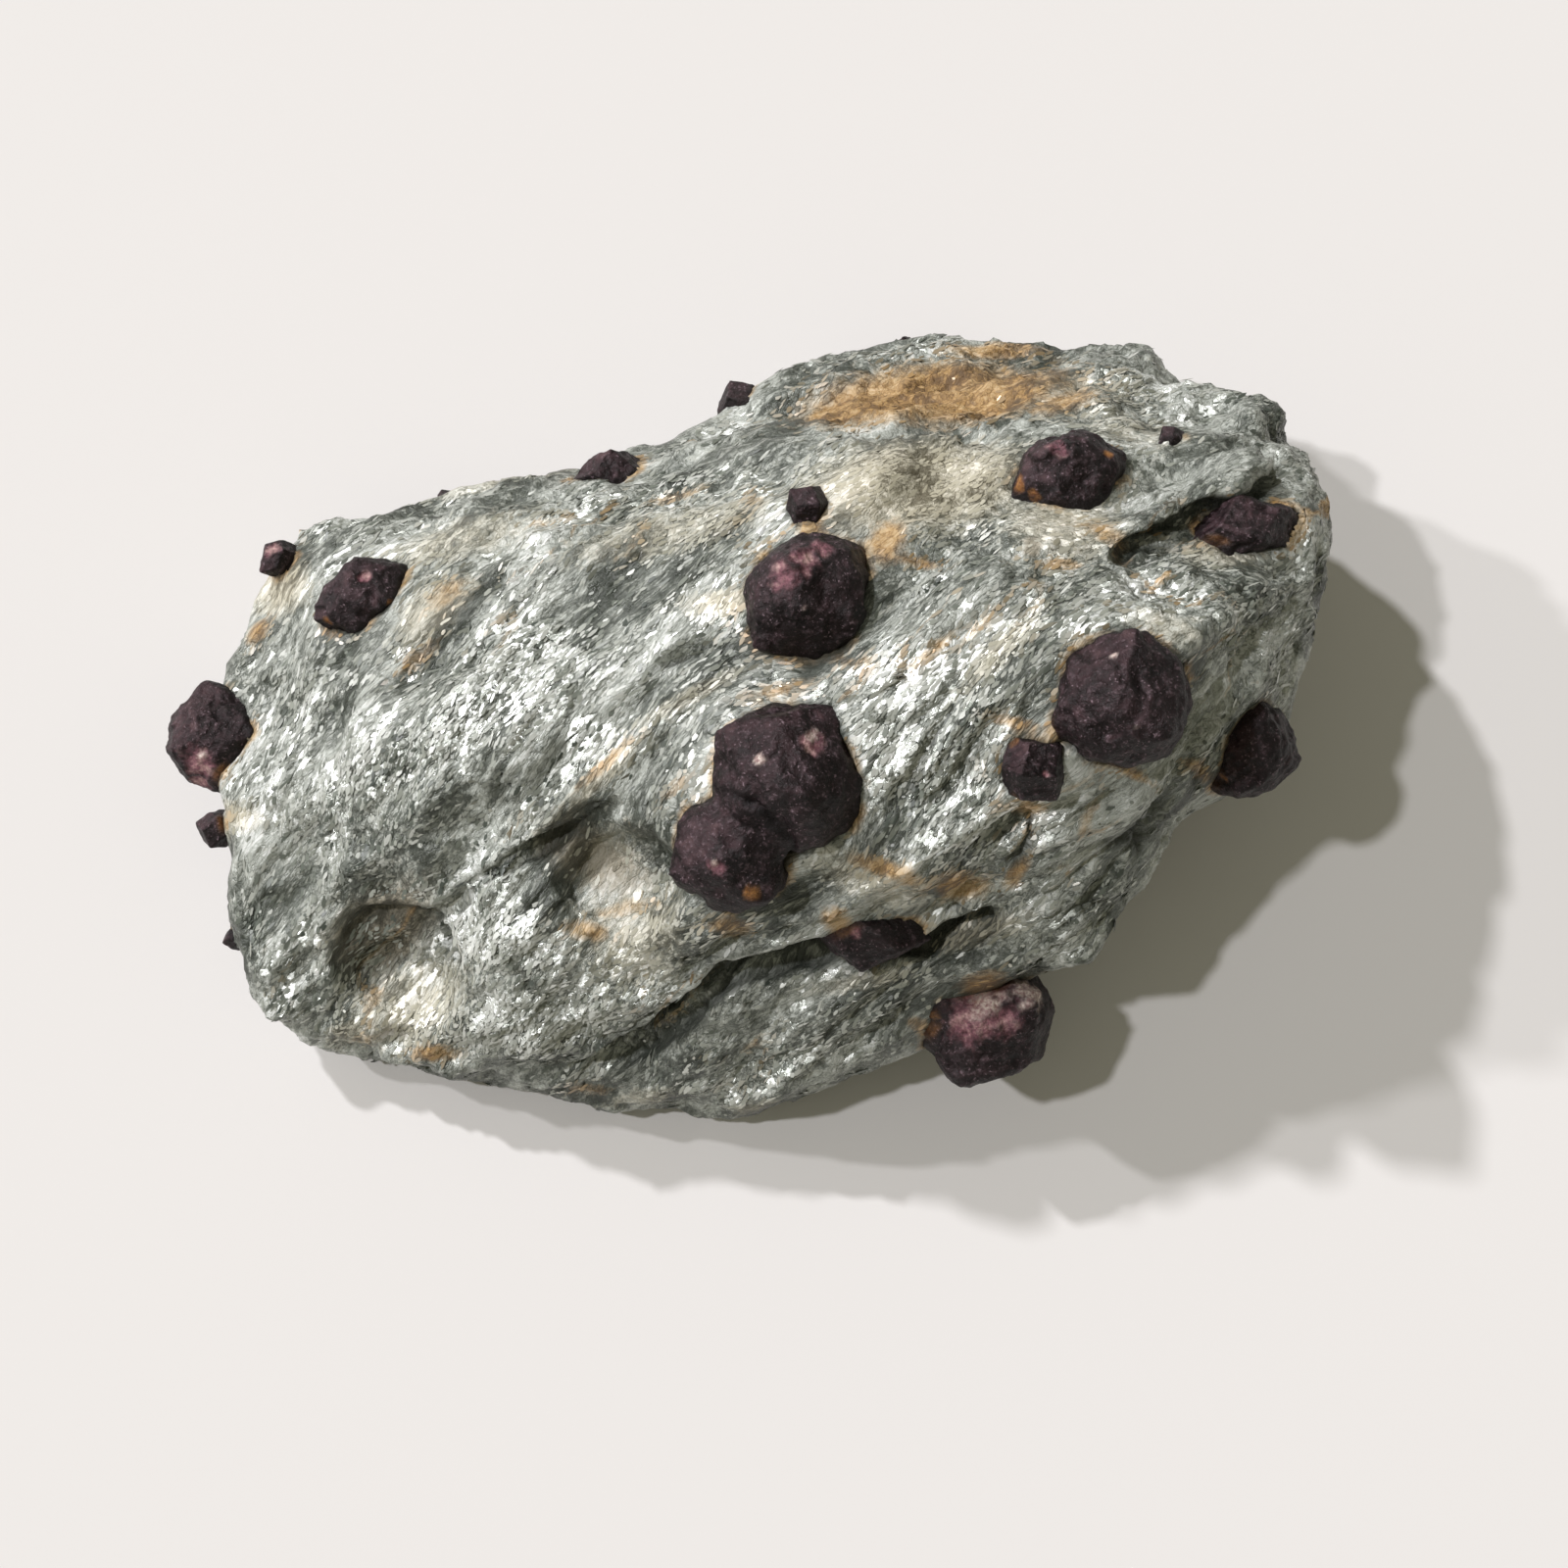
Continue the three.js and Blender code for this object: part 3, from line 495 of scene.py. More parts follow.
def schist_patterns(node, look):
    """What the attributes and the patterns say at each place: flakes of two sizes, slow changes of
    tone along the layers, thin streaks and fine grain."""
    at = SimpleNamespace(chances=[])
    place = node("ShaderNodeAttribute", attribute_name="layers", out="Vector")
    for name in ("lean", "rust", "cream", "soil", "hollow"):
        setattr(at, name, node("ShaderNodeAttribute", attribute_name=name, out="Fac"))

    # each flake draws a random colour and has a dark gap round it; a Map Range node is given its
    # value, the range that it comes from and the range that it becomes
    gaps = []
    for share, offset, darkest in ((1.0, 3.0, 0.45), (0.52, 11.0, 0.72)):
        length, width = share * look.flake_length, share * look.flake_width
        moved = node("ShaderNodeMapping", {
            "Vector": place, "Location": (offset, 1.7 * offset, 2.3 * offset),
            "Scale": (1 / length, 1 / width, 1 / width),
        })
        wobble = node("ShaderNodeTexNoise", {"Vector": moved, "Scale": 1.3, "Detail": 2.0}, out="Color")
        bent = node(VECTOR_MATH, (wobble, (0.9, 0.9, 0.9), moved), operation="MULTIPLY_ADD")
        at.chances.append(node("ShaderNodeTexVoronoi", {"Vector": bent, "Scale": 1.0}, out="Color"))
        edge = node("ShaderNodeTexVoronoi", {"Vector": bent, "Scale": 1.0}, out="Distance",
                    feature="DISTANCE_TO_EDGE")
        gaps.append(node(MAP_RANGE, (edge, 0.0, 0.12, darkest, 1.0)))
    large, small = at.chances
    at.which, at.shade = (node("ShaderNodeSeparateColor", {"Color": large}, out=i) for i in range(2))
    at.glint, at.fleck = (node("ShaderNodeSeparateColor", {"Color": small}, out=i) for i in range(2))

    for name, scale, detail in (
        ("zones", (0.07, 0.17, 0.15), 5.0),
        ("streaks", (0.3, 1.7, 1.5), 6.0),
        ("grain", (1.1, 1.1, 1.1), 6.0),
    ):
        moved = node("ShaderNodeMapping", {"Vector": place, "Scale": scale})
        setattr(at, name, node("ShaderNodeTexNoise", {
            "Vector": moved, "Scale": 1.0, "Detail": detail, "Roughness": 0.65}))

    # a flake is lit where it lies in a broad sheet of cleavage
    reach = -0.78
    for part, share in ((at.zones, 1.7), (at.lean, 0.85), (at.which, -1.0)):
        reach = node(MATH, (part, share, reach), operation="MULTIPLY_ADD")
    at.lit = node(MAP_RANGE, (reach, -0.05, 0.05, 0.0, 1.0))

    # dull schist is streaky and smooth, bright schist is broken into crisp flakes
    at.crisp = node(MAP_RANGE, (at.lean, -0.5, 0.5, 0.4, 1.0))
    gap = node(MATH, gaps, operation="MULTIPLY")
    at.body = node("ShaderNodeMix", {0: at.crisp, 2: 1.0, 3: gap}, data_type="FLOAT")
    return at


def schist_tone(node, at):
    """How light the schist is at each place, from 0 to 1: painted highlight on lit flakes and on flakes
    that lean to the cleavage, painted shade on the walls and in the dull patches.
    """
    cells = node(MATH, (at.shade, 0.35, -0.3), operation="MULTIPLY_ADD")
    cells = node(MATH, (at.fleck, 0.25, cells), operation="MULTIPLY_ADD")
    cells = node(MATH, (cells, at.crisp), operation="MULTIPLY")
    swing = node(MATH, (at.crisp, 1.5, 0.5), operation="MULTIPLY_ADD")
    centred = node(MATH, (at.streaks, 0.5), operation="SUBTRACT")
    streaky = node(MATH, (centred, swing), operation="MULTIPLY")
    tone = node(MATH, (at.zones, 2.5, -0.65), operation="MULTIPLY_ADD")
    # lit flakes and flakes that lean to the cleavage are painted lighter (painted highlight); negative
    # lean darkens the walls and dull patches (painted shade)
    for part, share in ((streaky, 1.0), (cells, 1.0), (at.lit, 0.2), (at.lean, 0.22)):
        tone = node(MATH, (part, share, tone), operation="MULTIPLY_ADD")
    tone = node(MATH, (tone, at.body), operation="MULTIPLY")

    # ragged dark seams between the layers, in bundles
    off_seam = node(MATH, (centred,), operation="ABSOLUTE")
    bundle = node(MAP_RANGE, (at.zones, 0.4, 0.6, 0.06, 0.015))
    seam = node(MAP_RANGE, (off_seam, 0.0, bundle, 0.5, 1.0))
    return node(MATH, (tone, seam), operation="MULTIPLY")


def schist_colour(node, at, look):
    """The colour of the flakes and their stains, with painted shade in the hollows and cracks, and how
    dull the stains and the hollows leave them.
    """
    tone = schist_tone(node, at)
    colour = node("ShaderNodeValToRGB", (tone,), stops=(
        (0.08, look.dark), (0.3, look.shade), (0.5, look.body), (0.72, look.light), (0.95, look.silver)))

    # each stain is patchy inside the place that its attribute gives
    patchy = node(MATH, (at.streaks, at.grain), operation="ADD")
    stains = []
    for cover, share, least in ((at.rust, 1.5, -1.5), (at.cream, 1.4, -1.3), (at.soil, 1.5, -1.2)):
        cover = node(MATH, (cover, share, least), operation="MULTIPLY_ADD")
        stains.append(node(MATH, (patchy, 1.1, cover), operation="MULTIPLY_ADD", use_clamp=True))
    rusty, creamy, soiled = stains
    for cover, most, stops in (
        (creamy, 0.85, ((0.15, look.cream_dark), (0.5, look.cream), (0.85, look.cream_pale))),
        # dirt, and painted shade on the moulds' walls
        (soiled, 0.85, ((0.2, look.soil_dark), (0.7, look.soil))),
        (rusty, 0.85, ((0.15, look.rust_dark), (0.5, look.rust), (0.85, look.rust_pale))),
        # painted shade: hollows and cracks are darkened toward the gaps' colour
        (at.hollow, 0.8, ((0.0, look.dark), (1.0, look.dark))),
    ):
        share = node(MATH, (cover, most), operation="MULTIPLY")
        stain = node("ShaderNodeValToRGB", (tone,), stops=stops)
        colour = node("ShaderNodeMix", {0: share, 6: colour, 7: stain}, out=2, data_type="RGBA")
    dull = node(MATH, (rusty, soiled), operation="MAXIMUM")
    dull = node(MATH, (dull, at.hollow), operation="MAXIMUM")
    dull = node(MATH, (creamy, 0.5, dull), operation="MULTIPLY_ADD", use_clamp=True)
    return colour, dull


def schist_facing(node, at, look):
    """The way that each place faces: flakes stand a little proud of their gaps, and each leans its
    own way, but the lit ones share the cleavage's face."""
    relief = 0.0
    for part, share in ((at.streaks, 0.6), (at.grain, 0.5), (at.body, 0.35)):
        relief = node(MATH, (part, share, relief), operation="MULTIPLY_ADD")
    normal = node("ShaderNodeBump", {"Height": relief, "Strength": 0.8, "Distance": 0.45 * MM})
    for chance, share in zip(at.chances, (1.0, 0.8)):
        tilt = node(MATH, (at.crisp, share * look.flake_tilt), operation="MULTIPLY")
        leaning = node(VECTOR_MATH, (chance, (0.5, 0.5, 0.5)), operation="SUBTRACT")
        leaning = node(VECTOR_MATH, {0: leaning, "Scale": tilt}, operation="SCALE")
        normal = node(VECTOR_MATH, (normal, leaning), operation="ADD")
    sheet = node(MATH, (at.lit, look.cleavage), operation="MULTIPLY")
    sheet = node(VECTOR_MATH, {0: CLEAVAGE_FACE, "Scale": sheet}, operation="SCALE")
    normal = node(VECTOR_MATH, (normal, sheet), operation="ADD")
    return node(VECTOR_MATH, (normal,), operation="NORMALIZE")


def schist_material(look):
    """Chlorite-mica schist, split along its layers: flakes with dark gaps between them, each with its own
    tilt, so that some glint and their neighbours stay grey-green; rust and cream stains; painted shade in
    the hollows, cracks and moulds, and painted sheen where the flakes lie in broad sheets."""
    material, node = new_material("mica_schist_split")
    at = schist_patterns(node, look)
    colour, dull = schist_colour(node, at, look)
    bright = node(MATH, (at.lit, 0.5, 0.08), operation="MULTIPLY_ADD")
    clean = node(MATH, (1.0, dull), operation="SUBTRACT")
    metallic = node(MATH, (bright, clean), operation="MULTIPLY")
    rough = node(MAP_RANGE, (at.glint, 0.6, 0.8, 0.45, 0.26))
    rough = node(MATH, (dull, 0.25, rough), operation="MULTIPLY_ADD")
    shader = node("ShaderNodeBsdfPrincipled", {
        "Base Color": colour, "Metallic": metallic, "Roughness": rough, "IOR": 1.58,
        "Normal": schist_facing(node, at, look),
    })
    node("ShaderNodeOutputMaterial", (shader,))
    return material


def garnet_material(look):
    """Almandine garnet, as it weathers out of schist: dull purple-brown skin, fine pits, glassy pink where
    it is freshly chipped, rust where it meets the schist; painted shade beside the schist and in the
    groove, and painted light on the faces turned to the lamps."""
    material, node = new_material("almandine_weathered")
    place = node("ShaderNodeTexCoord", out="Object")
    pink, pale, iron, deep, dusty = (
        node("ShaderNodeAttribute", attribute_name=name, out="Fac")
        for name in ("pink", "pale", "iron", "deep", "dusty")
    )
    # patterns by the size of their lumps in mm
    blotches, mottle, scuffs, speckle = (
        node("ShaderNodeTexNoise", {
            "Vector": place, "Scale": 1 / (size * MM), "Detail": 5.0, "Roughness": 0.6})
        for size in (3.2, 1.3, 0.8, 0.3)
    )
    skin = 0.0
    # dusty paints the faces turned to the lamps paler: painted light
    for part, share in ((blotches, 0.5), (mottle, 0.5), (dusty, 0.17)):
        skin = node(MATH, (part, share, skin), operation="MULTIPLY_ADD")
    colour = node("ShaderNodeValToRGB", (skin,), stops=(
        (0.38, look.shade), (0.55, look.body), (0.7, look.light), (0.86, look.dust)))
    scuffed = node("ShaderNodeValToRGB", (scuffs,), stops=((0.52, 0.0), (0.66, 0.5)))
    specks = node("ShaderNodeValToRGB", (speckle,), stops=((0.6, 0.0), (0.68, 1.0)))
    ragged = node(MAP_RANGE, (speckle, 0.35, 0.6, 0.5, 1.0))
    for cover, pattern, stops in (
        (scuffed, speckle, ((0.4, look.light), (0.7, look.scuff))),
        (specks, mottle, ((0.35, look.light), (0.6, look.scuff))),
        (pink, mottle, ((0.34, look.pink_dark), (0.5, look.pink), (0.66, look.pink_pale))),
        (pale, speckle, ((0.35, look.pink_pale), (0.65, look.bruise))),
        (iron, scuffs, ((0.35, look.rust_dark), (0.65, look.rust))),
        # painted shade: the garnet beside the schist and in the groove between the pair
        (deep, mottle, ((0.0, look.shade), (1.0, look.shade))),
    ):
        share = node(MATH, (cover, ragged), operation="MULTIPLY", use_clamp=True)
        stain = node("ShaderNodeValToRGB", (pattern,), stops=stops)
        colour = node("ShaderNodeMix", {0: share, 6: colour, 7: stain}, out=2, data_type="RGBA")
    fine = node("ShaderNodeBump", {"Height": speckle, "Strength": 0.8, "Distance": 0.15 * MM})
    coarse = node("ShaderNodeBump", {
        "Height": scuffs, "Strength": 0.8, "Distance": 0.4 * MM, "Normal": fine})
    rough = node(MAP_RANGE, (mottle, 0.35, 0.65, 0.42, 0.62))
    shader = node("ShaderNodeBsdfPrincipled", {
        "Base Color": colour, "Roughness": rough, "IOR": 1.79, "Specular IOR Level": 0.15,
        "Normal": coarse})
    node("ShaderNodeOutputMaterial", (shader,))
    return material


def mica_material(look):
    """Mica scales: thin, grey-green to pale silver, pearly where they are bright."""
    material, node = new_material("mica_scales_loose")
    bright, rust, cream = (
        node("ShaderNodeAttribute", attribute_name=name, out="Fac") for name in ("bright", "rust", "cream")
    )
    colour = node("ShaderNodeValToRGB", (bright,), stops=(
        (0.0, look.dark), (0.25, look.shade), (0.5, look.body), (0.75, look.light), (1.0, look.silver)))
    for cover, stain in ((cream, look.cream), (rust, look.rust)):
        share = node(MAP_RANGE, (cover, 0.0, 0.8, 0.0, 0.75))
        colour = node("ShaderNodeMix", {0: share, 6: colour, 7: stain}, out=2, data_type="RGBA")
    metallic = node(MAP_RANGE, (bright, 0.6, 1.0, 0.05, 0.55))
    shader = node("ShaderNodeBsdfPrincipled", {
        "Base Color": colour, "Metallic": metallic, "Roughness": 0.36, "IOR": 1.58})
    node("ShaderNodeOutputMaterial", (shader,))
    return material


def board_material(look):
    """Matt pale studio board."""
    material, node = new_material("studio_board")
    shader = node("ShaderNodeBsdfPrincipled", {"Base Color": look.board, "Roughness": 0.75})
    node("ShaderNodeOutputMaterial", (shader,))
    return material


# ---- settings ----

def colour_setting(name, description, code):
    """A colour that a user can change, given first as sRGB hex."""
    return bpy.props.FloatVectorProperty(
        name=name, description=description, subtype="COLOR", size=4, min=0, max=1, default=linear(code))


def length_setting(name, description, millimetres):
    """A length that a user can change."""
    return bpy.props.FloatProperty(
        name=name, description=description, default=millimetres * MM, unit="LENGTH", min=0)


def number_setting(name, description, value):
    """A plain number that a user can change."""
    return bpy.props.FloatProperty(name=name, description=description, default=value)


class SchistSettings(bpy.types.PropertyGroup):
    facet: length_setting("Facet", "Side of the fine mesh's facets", 0.51)
    flake_length: number_setting("Flake length", "Length of a mica flake in mm", 1.5)
    flake_width: number_setting("Flake width", "Width of a mica flake in mm", 0.55)
    flake_tilt: number_setting("Flake tilt", "How far flakes lean off the layer", 0.45)
    cleavage: number_setting("Cleavage", "How strictly the lit flakes share one face", 1.6)
    dark: colour_setting("Dark", "Gaps between the flakes", "#393e36")
    shade: colour_setting("Shade", "Chlorite, deep green-grey", "#656a62")
    body: colour_setting("Body", "The schist's main grey", "#9b9f97")
    light: colour_setting("Light", "Pale mica", "#bcc1b9")
    silver: colour_setting("Silver", "The brightest flakes", "#dde0dc")
    cream_dark: colour_setting("Cream, dark", "Weathered feldspar in the shade", "#827b66")
    cream: colour_setting("Cream", "Weathered feldspar", "#d2ccb6")
    cream_pale: colour_setting("Cream, pale", "Weathered feldspar, chalky", "#efe9d8")
    # soil colours: dirt, and painted shade on the moulds' walls
    soil_dark: colour_setting("Soil, dark", "Dirt in the moulds", "#4b4739")
    soil: colour_setting("Soil", "Dry dirt in the moulds", "#9b9380")
    rust_dark: colour_setting("Rust, dark", "Old iron stain", "#765a38")
    rust: colour_setting("Rust", "Iron stain", "#b48c50")
    rust_pale: colour_setting("Rust, pale", "Thin iron stain", "#caab78")


class ScaleSettings(bpy.types.PropertyGroup):
    count: bpy.props.IntProperty(
        name="Count", description="How many mica scales would cover the whole schist", default=140000)
    length: length_setting("Length", "Length of a mica scale", 0.8)
    seed: bpy.props.IntProperty(name="Seed", description="Picks where the scales lie", default=5)
    dark: colour_setting("Dark", "Scales of chlorite", "#474e47")
    shade: colour_setting("Shade", "Deep green-grey scales", "#6f756c")
    body: colour_setting("Body", "Grey scales", "#9fa399")
    light: colour_setting("Light", "Pale scales", "#c6c9c2")
    silver: colour_setting("Silver", "The brightest scales", "#e2e5e0")
    cream: colour_setting("Cream", "Scales under chalky dirt", "#d3ccb4")
    rust: colour_setting("Rust", "Scales under iron stain", "#c39a60")


class GarnetSettings(bpy.types.PropertyGroup):
    detail: number_setting("Detail", "Facets across the crystal's radius", 28)
    wear: number_setting("Wear", "Height of the skin's pits and lumps in mm", 0.2)
    shade: colour_setting("Shade", "Garnet in hollows and beside the schist", "#0d0709")
    body: colour_setting("Body", "The skin's main colour", "#1d1214")
    light: colour_setting("Light", "Paler blotches", "#38262a")
    # painted light on the faces turned to the lamps
    dust: colour_setting("Dust", "Dust on the upper faces", "#614a4c")
    scuff: colour_setting("Scuff", "Rubbed places", "#85727a")
    pink_dark: colour_setting("Pink, dark", "Fresh garnet, deep", "#452a2f")
    pink: colour_setting("Pink", "Fresh garnet", "#8f606a")
    pink_pale: colour_setting("Pink, pale", "Fresh garnet, crushed", "#c9a4a0")
    bruise: colour_setting("Bruise", "White bruises", "#e6dacf")
    rust_dark: colour_setting("Rust, dark", "Old iron stain", "#76492a")
    rust: colour_setting("Rust", "Iron stain", "#bd864a")


class StageSettings(bpy.types.PropertyGroup):
    board: colour_setting("Board", "Colour of the board", "#e6e4e2")
    sky: colour_setting("Sky", "Colour of the light from all round", "#fffadf")
    lamp: colour_setting("Lamp", "Colour of the lamps", "#fdfbff")
    distance: length_setting("Distance", "From the eye to the stone", 320)
    view_width: length_setting("View width", "Width seen at the stone", 144)


# ---- operators ----

LIP_REACH = 1.5  # mm from a garnet within which the schist's lip is drawn in to it
LIP_FULL = 0.6  # mm within which it touches
LIP_DEPTH = 0.3  # mm that it reaches in under the garnet's face
SOCKET_REACH = 4  # mm about a garnet in which its distance is measured
FAR_OFF = 50.0  # mm, the distance given to a point outside every such reach


def close_up(points):
    """Draws the schist's lips in to the garnets they hold, and gives each point's distance to the
    nearest garnet in mm. A wall between two garnets is left as it is."""
    nearest, second = np.full(len(points), FAR_OFF), np.full(len(points), FAR_OFF)
    targets = points.copy()
    for name in GARNETS:
        tree = search_tree(merged_copy(name))
        low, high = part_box(name)
        reach = SOCKET_REACH * MM
        near = np.all((points > np.array(low) - reach) & (points < np.array(high) + reach), axis=1)
        for index in np.flatnonzero(near):
            spot, facing, _, distance = tree.find_nearest(Vector(points[index]))
            outside = (Vector(points[index]) - spot).dot(facing) > 0
            gap = distance / MM if outside else 0.0
            if gap >= nearest[index]:
                second[index] = min(second[index], gap)
                continue
            second[index] = nearest[index]
            nearest[index] = gap
            targets[index] = np.array(spot - facing * LIP_DEPTH * MM) if outside else points[index]
    pull = 1 - np.clip((nearest - LIP_FULL) / (LIP_REACH - LIP_FULL), 0, 1)
    pull *= np.clip(second - nearest, 0, 1)
    return points + (targets - points) * pull[:, None], nearest


SOFT_FROM, SOFT_TO = 0.4, 2.2  # mm from a garnet between which the schist is smoothed
HELD_FROM, HELD_TO = 0.3, 1.6  # mm from a garnet between which the layers come to stand out
REST_FROM, REST_TO = 0.3, 2.0  # mm above the table between which they do
HELD_LOSS = 0.6  # share of their height that they lose beside a garnet
WALL_SHARE = 0.45  # share of it that they keep on a wall
LIP_RISE = 0.3  # mm that the schist's lip stands up round a garnet


class SPECIMEN_OT_schist(bpy.types.Operator):
    """Makes the schist lump with its fine layers, stains and closed garnet sockets"""
    bl_idname = "specimen.schist"
    bl_label = "Make the schist"

    def execute(self, context):
        look = context.scene.specimen_schist
        mesh = rounded_copy("schist", look.facet, rounds=4)
        points = coordinates(mesh)
        layers = layer_place(points)
        cracks = crack_depth(points, CRACKS)
        calm = 1 - 0.6 * patch_cover(points, CREAM_PATCHES)  # weathered places are smoother
        height = layer_height(layers) * calm - cracks
        points, gap = close_up(points)
        set_coordinates(mesh, points)
        facing = normals(mesh)
        resting = 1 - ease(REST_FROM, REST_TO, points[:, 2] / MM)
        upward = ease(-0.1, 0.6, facing[:, 2])
        held = 1 - ease(HELD_FROM, HELD_TO, gap)
        share = (WALL_SHARE + (1 - WALL_SHARE) * upward) * (1 - HELD_LOSS * held)
        amount = (height * share + LIP_RISE * held) * (1 - resting)
        low, high = (np.array(corner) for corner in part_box("schist"))
        points = np.clip(points + facing * amount[:, None] * MM, low, high)
        set_coordinates(mesh, points)
        soften(mesh, (gap > SOFT_FROM) & (gap < SOFT_TO), rounds=6)
        points = coordinates(mesh)

        seen = sky_seen(mesh)
        rim = (1 - ease(0.5, 1.5, gap)) * ease(-0.4, 0.3, noise(points / MM, 2.6, 31))
        seams = 1 - ease(0.0, 0.14, np.abs(noise(layers, (18, 3.2, 3), 33)))
        seams *= ease(0.1, 0.6, noise(layers, 12, 34))
        rust = np.maximum.reduce([patch_cover(points, RUST_PATCHES), 0.9 * rim, 0.6 * seams])
        # silver patches paint the flakes lighter (painted sheen); dull patches and walls that do not face
        # up paint them darker (painted shade); lean also turns the flakes
        silver = patch_cover(points, SILVER_SHEEN_PATCHES) - 0.6 * patch_cover(points, DULL_SHADE_PATCHES)
        lean = silver - 0.7 * (1 - ease(0.2, 0.7, facing[:, 2]))
        # hollow is painted shade where the stone hides the sky and in the cracks
        hollow = 1 - ease(0.3, 0.8, seen)
        uncovered = ease(0.5, 1.2, gap) * (1 - resting) * (1 - ease(0.1, 0.3, cracks))
        store(
            mesh,
            layers=layers,
            rust=rust,
            cream=patch_cover(points, CREAM_PATCHES),
            soil=patch_cover(points, SOIL_AND_SHADE_PATCHES),
            lean=lean * ease(0.3, 1.3, gap),
            hollow=np.maximum(hollow, ease(0.4, 0.9, cracks)),
            bare=uncovered * (1 - 0.8 * ease(0.3, 0.7, rust)),
        )
        add_piece("schist_lump", mesh, schist_material(look), "schist")
        return {"FINISHED"}


FINEST_FACET = 0.11  # mm, on the smallest garnets
# painted light: garnet faces turned this way, toward the lamps, are painted paler
LIT_FACE_WAY = np.array((-0.38, 0.38, 0.84))  # the way that the garnets' palest faces look


class SPECIMEN_OT_garnets(bpy.types.Operator):
    """Makes every garnet crystal with worn edges, pits and fresh pink chips"""
    bl_idname = "specimen.garnets"
    bl_label = "Make the garnets"

    def execute(self, context):
        look = context.scene.specimen_garnets
        material = garnet_material(look)
        schist = search_tree(merged_copy("schist"))
        for name in GARNETS:
            radius = middle_and_radius(name)[1]
            mesh = rounded_copy(name, max(FINEST_FACET, radius / look.detail) * MM, rounds=8)
            points = coordinates(mesh)
            local = points / MM
            skin = 0.9 * noise(local, 2.4, 50) + 0.7 * noise(local, 1.1, 51) + 0.5 * noise(local, 0.5, 52)
            skin -= 1.4 * ease(0.1, 0.5, noise(local, 1.7, 141))
            skin *= min(1, radius / 5)
            pink = mark_cover(points, PINK_MARKS, 53)
            chipped = -0.2 * pink * (1 + 0.6 * noise(local, 0.8, 140))
            amount = look.wear * skin + chipped - crack_depth(points, GROOVES)
            points = np.clip(points + normals(mesh) * amount[:, None] * MM, *CAD_BOUNDS)
            set_coordinates(mesh, points)
            gap = np.array([schist.find_nearest(Vector(p))[3] for p in points]) / MM
            stained = patch_cover(points, RUST_PATCHES) * (1 - ease(0.4, 1.2, gap))
            grooved = np.minimum(1, 3 * crack_depth(points, GROOVES))
            store(
                mesh,
                pink=pink,
                pale=mark_cover(points, PALE_MARKS, 55),
                iron=np.maximum(mark_cover(points, IRON_MARKS, 57), 0.8 * stained),
                # painted shade beside the schist and along the groove
                deep=np.maximum(0.9 * (1 - ease(0.1, 0.8, gap)), grooved),
                # painted light on the faces turned to the lamps
                dusty=ease(0.65, 1.0, normals(mesh) @ LIT_FACE_WAY),
            )
            add_piece(name + "_crystal", mesh, material, name)
        return {"FINISHED"}


def strew_tree(scale, material):
    """Geometry Nodes that strew a mesh with one scale, turned to its grain and leaning a little."""
    tree = bpy.data.node_groups.new("strew_scales", "GeometryNodeTree")
    for name, kind in (("Bed", "Geometry"), ("Density", "Float"), ("Length", "Float"), ("Seed", "Int")):
        tree.interface.new_socket(name, in_out="INPUT", socket_type="NodeSocket" + kind)
    tree.interface.new_socket("Scales", in_out="OUTPUT", socket_type="NodeSocketGeometry")
    node = functools.partial(add_node, tree)
    bed = node("NodeGroupInput", out="Bed")
    given = bed.node.outputs
    strewn, bright, sheet, grain = (
        node("GeometryNodeInputNamedAttribute", {"Name": name}, data_type=kind)
        for name, kind in (
            ("strewn", "FLOAT"), ("bright", "FLOAT"), ("sheet", "FLOAT_VECTOR"), ("grain", "FLOAT_VECTOR"))
    )
    density = node(MATH, (given["Density"], strewn), operation="MULTIPLY")
    points = node("GeometryNodeDistributePointsOnFaces", {
        "Mesh": bed, "Density": density, "Seed": given["Seed"]}, distribute_method="RANDOM")
    turn = node("FunctionNodeAlignRotationToVector", {"Vector": sheet}, axis="Z")
    turn = node("FunctionNodeAlignRotationToVector", {"Rotation": turn, "Vector": grain},
                axis="X", pivot_axis="Z")
    tip = node("FunctionNodeRandomValue", {"Min": (-0.2, -0.14, -0.4), "Max": (0.2, 0.14, 0.4)},
               data_type="FLOAT_VECTOR")
    turn = node("FunctionNodeRotateRotation", {"Rotation": turn, "Rotate By": tip}, rotation_space="LOCAL")
    size = node("FunctionNodeRandomValue", {"Min": (0.35, 0.3, 0.4), "Max": (2.1, 1.1, 0.8)},
                data_type="FLOAT_VECTOR")
    size = node(VECTOR_MATH, {0: size, "Scale": given["Length"]}, operation="SCALE")
    shape = node("GeometryNodeObjectInfo", {"Object": scale}, out="Geometry")
    placed = node("GeometryNodeInstanceOnPoints", {
        "Points": points, "Instance": shape, "Rotation": turn, "Scale": size})
    chance = node("FunctionNodeRandomValue", {2: -0.32, 3: 0.32}, data_type="FLOAT", out=1)
    bright = node(MATH, (bright, chance), operation="ADD")
    marked = node("GeometryNodeStoreNamedAttribute", {
        "Geometry": placed, "Name": "bright", "Value": bright}, data_type="FLOAT", domain="INSTANCE")
    real = node("GeometryNodeRealizeInstances", (marked,))
    painted = node("GeometryNodeSetMaterial", {"Geometry": real, "Material": material})
    node("NodeGroupOutput", {"Scales": painted})
    return tree


